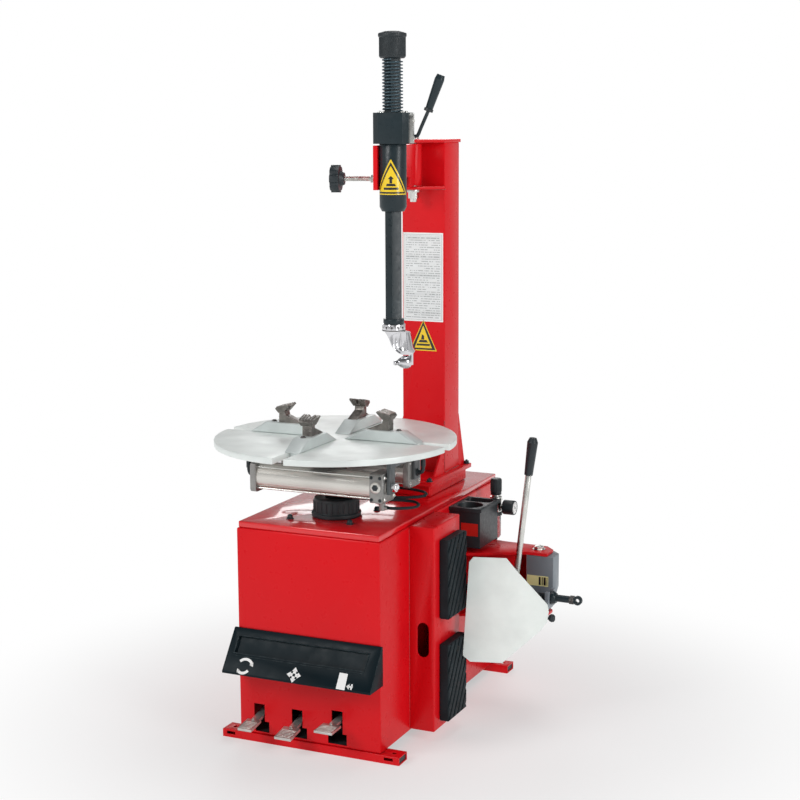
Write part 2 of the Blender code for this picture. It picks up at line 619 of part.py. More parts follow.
def adjusting_knob(arm):
    """Screw with a scalloped knob that steadies the arm's end."""
    z = 1.5395
    pivot = axis_empty("knob_axis", (ARM_LENGTH - 0.002, 0, z), arm)
    screw = rod("adjusting_knob", (0, -0.0375, 0), (0, -0.1360, 0), 0.0058, "black_plastic", pivot, 16)
    boss = rod("knob_boss", (0, -0.1310, 0), (0, -0.1440, 0), 0.016, None, pivot, 24, 0.022)
    disc = rod("knob_disc", (0, -0.1420, 0), (0, -0.1660, 0), 0.0365, None, pivot, 36)
    join(screw, boss, disc)
    notches = []
    for index in range(8):
        angle = 2 * math.pi * (index + 0.5) / 8
        x, up = 0.0415 * math.cos(angle), 0.0415 * math.sin(angle)
        notches.append(rod(f"knob_notch_{index}", (x, -0.13, up), (x, -0.18, up), 0.009, None, pivot, 12))
    cut(screw, *notches)


def turntable(root):
    table_axis = axis_empty("table_axis", (TABLE_X, TABLE_Y, 0), root)
    bottom = TABLE_TOP - TABLE_T
    table = rod("turntable", (0, 0, bottom), (0, 0, TABLE_TOP), TABLE_R, "table_steel", table_axis, 72)
    slots = []
    for index in range(4):
        outline = [(0.052, -SLOT_HALF), (0.36, -SLOT_HALF), (0.36, SLOT_HALF), (0.052, SLOT_HALF)]
        slot = plate(f"table_slot_{index}", [outline], (bottom - 0.01, TABLE_TOP + 0.01), "Z", None, table_axis)
        slot.rotation_euler.z = math.pi / 2 * index
        slots.append(slot)
    cut(table, *slots)
    shaft = rod("table_shaft", (0, 0, 0.560), (0, 0, bottom - GAP), 0.030, "dark_steel", table_axis)
    collar = rod("table_shaft_flange", (0, 0, bottom - 0.018), (0, 0, bottom - GAP), 0.050, None, table_axis)
    ports = []
    for index, angle in enumerate((-20, 20)):
        reach = Vector((math.cos(math.radians(angle)), math.sin(math.radians(angle)), 0))
        ports.append(
            rod(f"shaft_port_{index}", reach * 0.020 + Vector((0, 0, PORT_Z)), reach * 0.046 + Vector((0, 0, PORT_Z)),
                0.0075, None, table_axis, 12)
        )
    join(shaft, collar, *ports)
    jaw_groups(table_axis)
    clamp_hoses(table_axis)


def slide_piece(name, axis, driven):
    """A jaw slide: the hipped guide on the table, its foot in the slot and its plate below."""
    base_in, base_out, top_in, top_out = 0.036, 0.255, 0.096, 0.205
    low = TABLE_TOP + GAP
    profile = [(base_in, low), (base_out, low), (top_out, GUIDE_TOP), (top_in, GUIDE_TOP)]
    guide = plate(name, [profile], (-0.024, 0.024), "Y", "table_steel", axis)
    bevel(guide, 0.003)
    foot = block(name + "_foot", (0.062, -SLOT_HALF + 0.001, 0.812), (0.235, SLOT_HALF - 0.001, low + 0.001), None, axis)
    under = block(name + "_under", (0.062, -0.034, 0.8095), (0.235, 0.034, TABLE_TOP - TABLE_T - GAP), None, axis)
    pieces = [foot, under]
    if driven:
        lug_low = CYL_Z - 0.018
        behind_cap = PLAIN_CAP_T - CYL_LEFT + 0.0004
        for index, (x, side) in enumerate(((LUG_X, -1), (behind_cap, 1))):
            y_out, y_in = side * (CYL_OFFSET + 0.018), side * 0.020
            ys = (min(y_out, y_in), max(y_out, y_in))
            lug = (min(y_out, side * (CYL_OFFSET - 0.018)), max(y_out, side * (CYL_OFFSET - 0.018)))
            pieces.append(block(f"{name}_bar_{index}", (x, ys[0], 0.790), (x + 0.012, ys[1], 0.8105), None, axis))
            pieces.append(block(f"{name}_lug_{index}", (x, lug[0], lug_low), (x + 0.008, lug[1], 0.800), None, axis))
    join(guide, *pieces)
    if driven:
        hole = (LUG_X - 0.01, -CYL_OFFSET, CYL_Z), (LUG_X + 0.02, -CYL_OFFSET, CYL_Z)
        cut(guide, rod(name + "_rod_hole", *hole, 0.0083, None, axis, 20))


def jaw_piece(name, axis):
    """A steel jaw: a ramp, a post and a head that leans inwards with two serrated prongs."""
    low = GUIDE_TOP + GAP
    post = [(0.100, low), (0.168, low), (0.167, low + 0.034), (0.150, low + 0.034), (0.147, low + 0.020)]
    jaw = plate(name, [post], (-0.0135, 0.0135), "Y", "dark_steel", axis)
    head_outline = [(0.1490, low + 0.0300), (0.1680, low + 0.0265), (0.1760, low + 0.0380), (0.1700, low + 0.0450),
                    (0.1370, low + 0.0530), (0.1330, low + 0.0490)]
    head = plate(name + "_head", [head_outline], (-0.024, 0.024), "Y", None, axis)
    join(jaw, head)
    cutters = [block(name + "_split", (0.120, -0.004, low + 0.036), (0.147, 0.004, low + 0.06), None, axis)]
    for index, y in enumerate((-0.014, -0.0045, 0.0045, 0.014)):
        notch = [(y - 0.0042, low + 0.06), (y, low + 0.0425), (y + 0.0042, low + 0.06)]
        cutters.append(plate(f"{name}_notch_{index}", [notch], (0.12, 0.18), "X", None, axis))
    for side in (-1, 1):
        flank = [(side * 0.0175, low + 0.025), (side * 0.0235, low + 0.049), (side * 0.0300, low + 0.049),
                 (side * 0.0300, low + 0.025)]
        cutters.append(plate(f"{name}_flank_{side}", [flank], (0.12, 0.18), "X", None, axis))
    cut(jaw, *cutters)


def clamp_cylinder(name, axis):
    """Air cylinder along x: plain cap on the left, rod cap on the right, hollow inside.

    An elbow fitting hangs under the rod cap and opens away from the barrel."""
    left, right, y, z = CYL_LEFT, CYL_RIGHT, -CYL_OFFSET, CYL_Z
    barrel = rod(name, (left - 0.002, y, z), (right + 0.002, y, z), CYL_R, "aluminium", axis, 40)
    caps = []
    for index, (start, end) in enumerate(((left - PLAIN_CAP_T, left), (right, right + ROD_CAP_T))):
        low, high = (y - CAP_HALF, z - CAP_HALF), (y + CAP_HALF, z + CAP_HALF)
        caps.append(plate(f"{name}_cap_{index}", [rounded_box(low, high, 0.008, 2)], (start, end), "X", None, axis))
    join(barrel, *caps)
    bore = rod(name + "_bore", (left + 0.001, y, z), (right - 0.001, y, z), 0.0335, None, axis)
    rod_hole = rod(name + "_rod_hole", (right - 0.01, y, z), (right + 0.06, y, z), 0.0108, None, axis, 20)
    elbow_low, elbow_top = (ELBOW_X, y, ELBOW_Z - 0.0080), (ELBOW_X, y, z - CAP_HALF + 0.002)
    elbow = rod(name + "_elbow", elbow_low, elbow_top, 0.0085, None, axis, 16)
    spout_end = (ELBOW_X + ELBOW_REACH, y, ELBOW_Z)
    spout = rod(name + "_spout", (ELBOW_X, y, ELBOW_Z), spout_end, 0.0060, None, axis, 16)
    join(barrel, elbow, spout)
    port = rod(name + "_port", (ELBOW_X, y, ELBOW_Z), (ELBOW_X, y, z - 0.020), 0.003, None, axis, 12)
    way_out = (ELBOW_X + ELBOW_REACH + 0.01, y, ELBOW_Z)
    spout_bore = rod(name + "_spout_bore", (ELBOW_X, y, ELBOW_Z), way_out, 0.0029, None, axis, 12)
    cut(barrel, bore, rod_hole, port, spout_bore)


def clamp_rod(name, axis):
    """Piston rod with its piston, and the nut outside the other slide's lug."""
    y, z = -CYL_OFFSET, CYL_Z
    shoulder, lug_far = LUG_X - 0.0005, LUG_X + 0.008
    piston_rod = rod(name, (-0.048, y, z), (shoulder, y, z), 0.0100, "chrome", axis, 20)
    stud = rod(name + "_stud", (shoulder - 0.006, y, z), (lug_far + 0.0167, y, z), 0.0078, None, axis, 20)
    piston = rod(name + "_piston", (-0.068, y, z), (-0.046, y, z), 0.0328, None, axis)
    nut = rod(name + "_nut", (lug_far + GAP, y, z), (lug_far + 0.0137, y, z), 0.0130, None, axis, 6)
    join(piston_rod, stud, piston, nut)


def jaw_groups(table_axis):
    """Right, rear, left and front jaws. The right and left ones carry a cylinder and a rod."""
    for index, side in enumerate(("right", "rear", "left", "front")):
        axis = axis_empty(f"jaw_{side}_axis", (0, 0, 0), table_axis, 90.0 * index)
        slide_piece(f"jaw_slide_{side}", axis, index % 2 == 0)
        jaw_piece(f"jaw_{side}", axis)
    for name, turn in (("front", 0.0), ("rear", 180.0)):
        axis = axis_empty(f"cylinder_{name}_axis", (0, 0, 0), table_axis, turn)
        clamp_cylinder(f"clamp_cylinder_{name}", axis)
        clamp_rod(f"clamp_rod_{name}", axis)


def clamp_hoses(table_axis):
    """Air hoses from the ports on the turning shaft to the elbows under the rod caps."""
    routes = {
        "clamp_hose_front": [
            (0.0438, -0.0159, PORT_Z), (0.082, -0.024, 0.681), (0.132, -0.010, 0.678), (0.184, 0.010, 0.677),
            (0.228, 0.010, 0.677), (0.256, -0.018, 0.677), (0.260, -0.058, 0.679), (0.240, -0.089, ELBOW_Z),
            (0.216, -CYL_OFFSET, ELBOW_Z), (ELBOW_X + ELBOW_REACH + GAP, -CYL_OFFSET, ELBOW_Z),
        ],
        "clamp_hose_rear": [
            (0.0438, 0.0159, PORT_Z), (0.084, 0.028, 0.681), (0.140, 0.032, 0.678), (0.196, 0.048, 0.677),
            (0.228, 0.086, 0.677), (0.208, 0.128, 0.677), (0.152, 0.148, 0.677), (0.060, 0.150, 0.677),
            (-0.050, 0.149, 0.677), (-0.140, 0.148, 0.677), (-0.212, 0.145, 0.678), (-0.244, 0.128, 0.680),
            (-0.238, 0.107, ELBOW_Z), (-0.217, CYL_OFFSET, ELBOW_Z),
            (-ELBOW_X - ELBOW_REACH - GAP, CYL_OFFSET, ELBOW_Z),
        ],
    }
    for name, route in routes.items():
        lead = [Vector(p) for p in route]
        outward = Vector((route[0][0], route[0][1], 0)).normalized()
        lead[0] = outward * (0.046 + GAP) + Vector((0, 0, PORT_Z))
        tube(name, smooth_path(lead, 4), 0.0040, "rubber", table_axis, 2)


def drive(root):
    """Gearbox, motor and belt inside the cabinet, and the collar round the shaft."""
    turned(
        "shaft_collar_ring",
        [(0.0320, 0.6730), (0.060, 0.6730), (0.062, 0.667), (0.062, 0.634), (0.068, 0.628), (0.068, LID_TOP + GAP),
         (0.0320, LID_TOP + GAP)],
        (TABLE_X, TABLE_Y, 0), (0, 0, 1), "black_plastic", root, 40,
    )
    z_top = CAB_TOP - SHEET - GAP
    housing = rod("gearbox_housing", (TABLE_X, TABLE_Y, 0.440), (TABLE_X, TABLE_Y, z_top), 0.080, "cast_iron", root)
    worm_x, worm_z = TABLE_X - 0.075, 0.500
    tunnel = rod("worm_tunnel", (worm_x, TABLE_Y - 0.095, worm_z), (worm_x, TABLE_Y + 0.095, worm_z), 0.034, None, root)
    output = rod("gearbox_bore", (TABLE_X, TABLE_Y, 0.545), (TABLE_X, TABLE_Y, 0.65), 0.0325, None, root)
    input_bore = rod("worm_bore", (worm_x, TABLE_Y + 0.040, worm_z), (worm_x, TABLE_Y + 0.12, worm_z), 0.0115, None,
                     root, 20)
    join(housing, tunnel)
    cut(housing, output, input_bore)

    plane = TABLE_Y + 0.112
    worm_axis = axis_empty("worm_axis", (worm_x, plane, worm_z), root)
    worm_pulley = rod("worm_pulley", (0, -0.010, 0), (0, 0.010, 0), 0.060, "cast_iron", worm_axis)
    stub = rod("worm_shaft", (0, -0.070, 0), (0, -0.009, 0), 0.0110, None, worm_axis, 20)
    join(worm_pulley, stub)
    motor_x, motor_z, motor_r = worm_x, 0.250, 0.066
    motor_axis = axis_empty("motor_axis", (motor_x, plane, motor_z), root)
    motor_pulley = rod("motor_pulley", (0, -0.010, 0), (0, 0.010, 0), 0.032, "cast_iron", motor_axis)
    join(motor_pulley, rod("motor_shaft", (0, -0.040, 0), (0, -0.009, 0), 0.0090, None, motor_axis, 20))
    motor = rod("drive_motor", (motor_x, plane - 0.225, motor_z), (motor_x, plane - 0.020, motor_z), motor_r,
                "motor_paint", root)
    feet = block("motor_feet", (motor_x - 0.060, plane - 0.180, motor_z - 0.078),
                 (motor_x + 0.060, plane - 0.070, motor_z - 0.050), None, root)
    junction = block("motor_junction", (motor_x - 0.030, plane - 0.160, motor_z + 0.050),
                     (motor_x + 0.030, plane - 0.080, motor_z + 0.085), None, root)
    join(motor, feet, junction)
    cut(motor, rod("motor_bore", (motor_x, plane - 0.05, motor_z), (motor_x, plane, motor_z), 0.0095, None, root, 20))
    belt_loop(worm_x, plane, (motor_z, 0.032), (worm_z, 0.060), root)


def belt_loop(x, y, lower, upper, root):
    """A flat ring along the common tangents of two pulleys, (height, radius) each."""
    span = upper[0] - lower[0]
    lean = math.degrees(math.asin((upper[1] - lower[1]) / span))
    loops = []
    for clearance in (GAP + 0.0002, 0.008):
        top = arc((x, upper[0]), upper[1] + clearance, -lean, 180 + lean, 20)
        bottom = arc((x, lower[0]), lower[1] + clearance, 180 + lean, 360 - lean, 12)
        loops.append(top + bottom)
    plate("drive_belt", loops, (y - 0.0065, y + 0.0065), "Y", "rubber", root)


def pedals(root):
    """Three foot pedals on one axle, held by a frame with the air valves on it."""
    frame = block("pedal_frame", (0.020, 0.110, 0.0262), (0.362, 0.300, 0.0300), "zinc_steel", root)
    axle = rod("pedal_axle", (0.022, PEDAL_PIVOT_Y, PEDAL_PIVOT_Z), (0.360, PEDAL_PIVOT_Y, PEDAL_PIVOT_Z),
               PEDAL_AXLE_R, None, root, 16)
    pieces = [axle]
    for index, x in enumerate((0.024, 0.120, 0.238, 0.352)):
        pieces.append(
            block(f"pedal_ear_{index}", (x, 0.150, 0.029), (x + 0.006, 0.182, PEDAL_PIVOT_Z + 0.014), None, root)
        )
    for index, (x, _, _, _) in enumerate(PEDALS):
        pieces.append(block(f"pedal_valve_{index}", (x - 0.022, 0.225, 0.029), (x + 0.022, 0.290, 0.078), None, root))
    join(frame, *pieces)
    for index, (x, width, tilt, height) in enumerate(PEDALS):
        axis = axis_empty(f"pedal_{index + 1}_axis", (x, PEDAL_PIVOT_Y, PEDAL_PIVOT_Z), root)
        z = height - PEDAL_PIVOT_Z
        front = -PEDAL_PIVOT_Y - 0.085
        neck = front + 0.050
        profile = [(0.016, -0.010), (0.016, 0.010), (-0.010, 0.010), (neck + 0.02, z + 0.003), (neck, z + 0.001),
                   (neck, z - 0.004), (neck + 0.02, z - 0.004), (-0.010, -0.008)]
        arm = plate(f"pedal_{index + 1}", [profile], (-0.012, 0.012), "X", "zinc_steel", axis)
        slope = math.tan(math.radians(tilt))
        drop = 0.056 * slope
        tread = [(front + 0.056, z + 0.003), (front, z + 0.003 - drop), (front, z - 0.004 - drop), (front + 0.056, z - 0.004)]
        pad = plate(f"pedal_pad_{index}", [tread], (-width / 2, width / 2), "X", None, axis)
        hole = rod(f"pedal_hole_{index}", (-0.02, 0, 0), (0.02, 0, 0), PEDAL_AXLE_R + GAP, None, axis, 16)
        join(arm, pad)
        cut(arm, hole)


def air_unit(root):
    """Filter and regulator beside the tray: body, clear bowl, knob and pressure gauge."""
    x, y = 0.5135, 0.660
    turned(
        "regulator_body",
        [(0, 0.6015), (0.0120, 0.6015), (0.0120, 0.597), (0.0175, 0.596), (0.0175, 0.588), (0.0165, 0.586),
         (0.0165, 0.5495), (0, 0.5495)],
        (x - 0.013, y, 0), (0, 0, 1), "zinc_steel", root,
    )
    stem = block("regulator_stem", (CAB_W + GAP, y - 0.010, 0.556), (x - 0.015, y + 0.010, 0.580), None, root)
    outlet = rod("regulator_outlet", (x - 0.010, y, 0.566), (x + 0.0105, y, 0.566), 0.0065, None, root, 16)
    body = bpy.data.objects["regulator_body"]
    join(body, stem, outlet)
    turned(
        "filter_bowl",
        [(0, 0.5492), (0.0150, 0.5492), (0.0150, 0.480), (0.0110, 0.472), (0.0040, 0.470), (0.0040, 0.464), (0, 0.464)],
        (x - 0.013, y, 0), (0, 0, 1), "clear_plastic", root, 24,
    )
    turned(
        "pressure_gauge",
        [(0, 0.0440), (0.0190, 0.0440), (0.0215, 0.0420), (0.0215, 0.0110), (0.0190, 0.0090), (0, 0.0090)],
        (x + 0.0020, y, 0.566), (1, 0, 0), "black_plastic", root,
    )
    axis = axis_empty("regulator_axis", (x - 0.013, y, 0), root)
    turned(
        "regulator_knob",
        [(0, 0.650), (0.0145, 0.650), (0.0160, 0.648), (0.0160, 0.6018), (0, 0.6018)],
        (0, 0, 0), (0, 0, 1), "black_plastic", axis, 24,
    )


def bead_breaker(root):
    """Bracket of two plates, joined by a back and two webs, with the pin that the arm turns on."""
    top, lower_z = PLATE_Z + PLATE_T, LOWER_PLATE_TOP
    start = CAB_W + GAP
    outline = [(start, 0.440), (0.560, 0.505), (0.640, 0.549), (0.700, 0.549), (0.700, 0.604), (0.672, 0.634),
               (0.540, 0.640), (start, 0.660)]
    bracket = plate("breaker_bracket", [outline], (PLATE_Z, top), "Z", "red_paint", root)
    lower = plate("bracket_lower", [outline], (lower_z - PLATE_T, lower_z), "Z", None, root)
    web_low, web_high = lower_z - 0.004, PLATE_Z + 0.004
    back = block("bracket_back", (start, 0.545, web_low), (start + 0.008, 0.655, web_high), None, root)
    front_web = block("bracket_front_web", (start, 0.549, web_low), (0.612, 0.557, web_high), None, root)
    rear_web = block("bracket_rear_web", (start, 0.616, web_low), (0.614, 0.626, web_high), None, root)
    bore = rod("bracket_bore", (PIN_X, PIN_Y, 0.15), (PIN_X, PIN_Y, 0.50), 0.0093, None, root, 24)
    join(bracket, lower, back, front_web, rear_web)
    cut(bracket, bore)
    nut_top = lower_z - PLATE_T - GAP
    bolt = rod("breaker_pin", (PIN_X, PIN_Y, nut_top - 0.018), (PIN_X, PIN_Y, top + 0.010), 0.0090, "zinc_steel", root, 24)
    head = rod("pin_head", (PIN_X, PIN_Y, top + GAP), (PIN_X, PIN_Y, top + 0.009), 0.0145, None, root, 6)
    nut = rod("pin_nut", (PIN_X, PIN_Y, nut_top - 0.0135), (PIN_X, PIN_Y, nut_top), 0.0145, None, root, 6)
    join(bolt, head, nut)

    breaker_cylinder(root)
    breaker_arm(root)


def breaker_cylinder(root):
    """Air cylinder that hangs on an upright pin, and the rod that pulls the arm in."""
    axis = axis_empty("breaker_cylinder_axis", (CYL_PIN_X, ROD_Y, ROD_Z), root)
    cylinder = rod("breaker_cylinder", (0.045, 0, 0), (0.310, 0, 0), 0.085, "motor_paint", axis, 36)
    lug = block("cylinder_lug", (-0.014, -0.014, -0.0210), (0.050, 0.014, 0.0210), None, axis)
    bore = rod("breaker_bore", (0.051, 0, 0), (0.304, 0, 0), 0.0805, None, axis)
    rod_hole = rod("breaker_rod_hole", (0.28, 0, 0), (0.34, 0, 0), 0.0108, None, axis, 20)
    pin_hole = rod("breaker_pin_hole", (0, 0, -0.05), (0, 0, 0.05), 0.0064, None, axis, 20)
    port = rod("breaker_port", (0.285, 0, 0.070), (0.285, 0, 0.10), 0.005, None, axis, 12)
    join(cylinder, lug)
    cut(cylinder, bore, rod_hole, pin_hole, port)
    end = ROD_END_X - CYL_PIN_X
    piston_rod = rod("breaker_rod", (0.165, 0, 0), (end - 0.020, 0, 0), 0.0100, "black_paint", axis, 20)
    piston = rod("breaker_piston", (0.150, 0, 0), (0.170, 0, 0), 0.0798, None, axis)
    face = PIN_X + EAR_X[1] - CYL_PIN_X + 0.003
    seat = rod("rod_seat", (face, 0, 0), (face + 0.012, 0, 0), 0.0195, None, axis, 24, 0.0140)
    eye = turned(
        "rod_eye", [(0.0060, 0.005), (0.0130, 0.005), (0.0130, -0.005), (0.0060, -0.005)],
        (end - 0.0130, 0, 0), (0, 1, 0), None, axis, 24,
    )
    join(piston_rod, piston, seat, eye)


def breaker_arm(root):
    """The arm turns on its pin at the back; its blade swivels on a pin at the front."""
    arm = axis_empty("breaker_axis", (PIN_X, PIN_Y, 0), root)
    top, low = PLATE_Z - 0.0010, ARM_LOW
    box_outline = [(-0.021, -0.045), (0.059, -0.045), (0.059, 0.006), (0.031, 0.034), (-0.021, 0.034)]
    body = plate("breaker_arm", [box_outline], (low, top), "Z", "grey_paint", arm)
    swivel = Vector((0.0440, -0.1880, 0))
    beam_outline = [(-0.046, -0.080), (-0.046, -0.150), *arc(swivel.xy, 0.014, 200, 360, 6), (0.056, -0.140),
                    (0.040, -0.070), (0.040, -0.030), (-0.018, -0.030)]
    beam = plate("arm_forward", [beam_outline], (low, BEAM_TOP), "Z", None, arm)
    ears = []
    middle = ROD_Y - PIN_Y
    ear_low, ear_high, shelf_low = BEAM_TOP - 0.002, 0.380, BEAM_TOP - 0.012
    ear_ys = [(middle - 0.029, middle - 0.0155), (middle + 0.0155, middle + 0.029)]
    for index, (start, end) in enumerate(ear_ys):
        ears.append(block(f"rod_ear_{index}", (EAR_X[0], start, ear_low), (EAR_X[1], end, ear_high), None, arm))
    shelf_front, shelf_back = ear_ys[0][0], ear_ys[1][1]
    shelf = block("ear_shelf", (0.030, shelf_front, shelf_low), (EAR_X[1], shelf_back, BEAM_TOP), None, arm)
    bore = rod("breaker_arm_bore", (0, 0, 0.15), (0, 0, 0.50), 0.0093, None, arm, 24)
    pin_hole = rod("swivel_hole", swivel + Vector((0, 0, low - 0.02)), swivel + Vector((0, 0, BEAM_TOP + 0.02)), 0.0083,
                   None, arm, 20)
    taper_outline = [(0.0590, 0.364), (0.0320, 0.289), (0.0320, 0.270), (0.0700, 0.270), (0.0700, 0.364)]
    taper = plate("arm_taper", [taper_outline], (-0.0453, 0.06), "Y", None, arm)
    box_hollow = block("arm_box_hollow", (-0.013, -0.037, BEAM_TOP + 0.010), (0.048, 0.060, top - 0.010), None, arm)
    beam_hollow = block("arm_beam_hollow", (-0.036, -0.142, low - 0.02), (0.030, -0.070, BEAM_TOP - 0.010), None, arm)
    cut(body, taper)
    join(body, beam, *ears, shelf)
    cut(body, bore, pin_hole, box_hollow, beam_hollow)
    lever_base = Vector((-0.0289, -0.1321, BEAM_TOP + 0.0014))
    lever_grip = Vector((0.0136, -0.1321, 0.7143))
    lever_end = Vector((0.0265, -0.1321, 0.8206))
    rod("breaker_lever", lever_base, lever_grip, 0.0088, "zinc_steel", arm, 20)
    along = (lever_end - lever_grip).normalized()
    grip = rod("breaker_lever_grip", lever_grip + along * 0.0006, lever_end - along * 0.012, 0.0120, "black_plastic", arm,
               24, 0.0152)
    tip = rod("grip_tip", lever_end - along * 0.0125, lever_end, 0.0152, None, arm, 24, 0.0100)
    join(grip, tip)
    blade_group(arm, swivel)


def blade_group(arm, swivel):
    """The blade's frame: x along its plate away from the working edge."""
    angle = math.radians(BLADE_ANGLE)
    edge = Vector((BLADE_X - PIN_X, BLADE_Y - PIN_Y, 0))
    axis = axis_empty("blade_axis", swivel, arm, BLADE_ANGLE)
    offset = Matrix.Rotation(-angle, 3, "Z") @ (edge - swivel)
    outline = [(0.000, 0.4861), (0.011, 0.4995), (0.103, 0.4975), (0.137, 0.4561), (0.2175, 0.3670), (0.221, 0.3467),
               (0.2168, 0.3172), (0.200, 0.2932), (0.093, 0.1963), (0.003, 0.1985), (-0.017, 0.2161), (-0.009, 0.3480)]
    outline = [(offset.x + s, z) for s, z in outline]
    face = offset.y
    blade = plate("breaker_blade", [outline], (face - BLADE_T, face), "Y", "blade_paint", axis)
    low, high = ARM_LOW, BEAM_TOP
    arms = []
    for index, (bottom, top) in enumerate(((low - 0.014, low - 0.0005), (high + 0.0005, high + 0.014))):
        ear = [(-0.024, face - 0.001), (0.012, face - 0.001), (0.012, 0.012), (-0.012, 0.012)]
        arms.append(plate(f"blade_ear_{index}", [ear], (bottom, top), "Z", None, axis))
    pin = rod("blade_pin", (0, 0, low - 0.0165), (0, 0, high + 0.018), 0.0080, None, axis, 20)
    join(blade, *arms, pin)


def main():
    root = axis_empty("machine", (-ORIGIN_X, -ORIGIN_Y, 0))
    cabinet(root)
    wheel_support(root)
    console(root)
    tool_tray(root)
    column(root)
    swing_arm(root)
    turntable(root)
    drive(root)
    pedals(root)
    air_unit(root)
    bead_breaker(root)


main()
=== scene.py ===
"""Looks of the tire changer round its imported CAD: materials, fasteners, signs, hoses and the studio.

Positions are in the cabinet's frame, in metres: x from the cabinet's left side, y from its front
panel towards the back, z from the floor. cab() and arm() turn them into the row frame."""

import json
from math import atan2, cos, hypot, radians, sin, tan, tau

import bmesh
import bpy
from mathutils import Matrix, Vector


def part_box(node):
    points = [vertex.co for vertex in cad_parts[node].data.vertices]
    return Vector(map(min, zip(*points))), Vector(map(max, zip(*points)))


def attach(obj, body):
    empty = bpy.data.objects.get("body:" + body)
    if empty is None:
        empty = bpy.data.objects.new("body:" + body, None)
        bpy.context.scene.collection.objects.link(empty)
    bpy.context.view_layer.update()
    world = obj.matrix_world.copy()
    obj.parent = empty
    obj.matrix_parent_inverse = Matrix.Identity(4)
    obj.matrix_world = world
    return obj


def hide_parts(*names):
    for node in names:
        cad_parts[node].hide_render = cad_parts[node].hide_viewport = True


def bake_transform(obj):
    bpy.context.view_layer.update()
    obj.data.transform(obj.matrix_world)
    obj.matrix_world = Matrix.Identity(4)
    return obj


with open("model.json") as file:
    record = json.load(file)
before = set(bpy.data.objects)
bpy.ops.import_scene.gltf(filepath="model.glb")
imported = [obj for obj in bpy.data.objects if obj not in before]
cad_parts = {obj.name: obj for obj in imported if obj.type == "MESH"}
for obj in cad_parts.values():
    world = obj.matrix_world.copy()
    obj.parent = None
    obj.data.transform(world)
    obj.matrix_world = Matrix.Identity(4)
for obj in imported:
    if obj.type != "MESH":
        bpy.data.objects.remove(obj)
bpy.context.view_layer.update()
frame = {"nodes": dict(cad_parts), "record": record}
NODES = frame["nodes"]
for imported in list(bpy.data.materials):
    bpy.data.materials.remove(imported)

SHELL_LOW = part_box("cabinet_shell")[0]
HUB_X, HUB_Y, ARM_TURN = 0.2833, 0.555, radians(-74.7)
ARM_LENGTH = 0.3577
TABLE_X, TABLE_Y = 0.218, 0.173
BLADE_X, BLADE_Y, BLADE_TURN = 0.7037, 0.4061, radians(20)
SLIDE_STEEL_LOW = 0.824  # below this, in the table's slots and under it, the jaw slides get painted shade
SIDES = ("right", "rear", "left", "front")  # of the four jaws, a quarter turn apart
UP, FORWARD, RIGHT = (0, 0, 1), (0, -1, 0), (1, 0, 0)


def cab(x, y, z):
    return Vector((x + SHELL_LOW.x, y + SHELL_LOW.y, z))


def arm(x, y, z):
    """From the swing arm's hub: x towards the vertical shaft, y to the right of that."""
    c, s = cos(ARM_TURN), sin(ARM_TURN)
    return cab(HUB_X + c * x - s * y, HUB_Y + s * x + c * y, z)


def shaft(x, y, z):
    return arm(ARM_LENGTH + x, y, z)


def table(x, y, z):
    return cab(TABLE_X + x, TABLE_Y + y, z)


def blade(x, y, z):
    """From the blade's swivel pin: x along the blade, away from its working edge."""
    c, s = cos(BLADE_TURN), sin(BLADE_TURN)
    return cab(BLADE_X + c * x - s * y, BLADE_Y + s * x + c * y, z)


def as_given(x, y, z):
    return Vector((x, y, z))


def circle(count, radius):
    """Places spread evenly on a circle, as (x, y)."""
    angles = (tau * i / count for i in range(count))
    return [(radius * cos(angle), radius * sin(angle)) for angle in angles]


def add_object(name, data):
    obj = bpy.data.objects.new(name, data)
    bpy.context.scene.collection.objects.link(obj)
    return obj


# ---- camera ----

def make_camera():
    turn, pitch, roll = radians(24.5164), radians(9.5717), radians(-0.2588)
    ahead = Vector((-sin(turn) * cos(pitch), cos(turn) * cos(pitch), -sin(pitch)))
    side = Vector((cos(turn), sin(turn), 0))
    up = side.cross(ahead)
    right = cos(roll) * side + sin(roll) * up
    top = -sin(roll) * side + cos(roll) * up
    data = bpy.data.cameras.new("camera")
    data.lens, data.sensor_width, data.clip_end = 73.08, 36, 100
    camera = add_object("camera", data)
    place = Matrix((right, top, -ahead)).transposed().to_4x4()
    place.translation = (1.83248, -4.07286, 1.67646)
    camera.matrix_world = place
    bpy.context.scene.camera = camera


make_camera()


# ---- materials ----

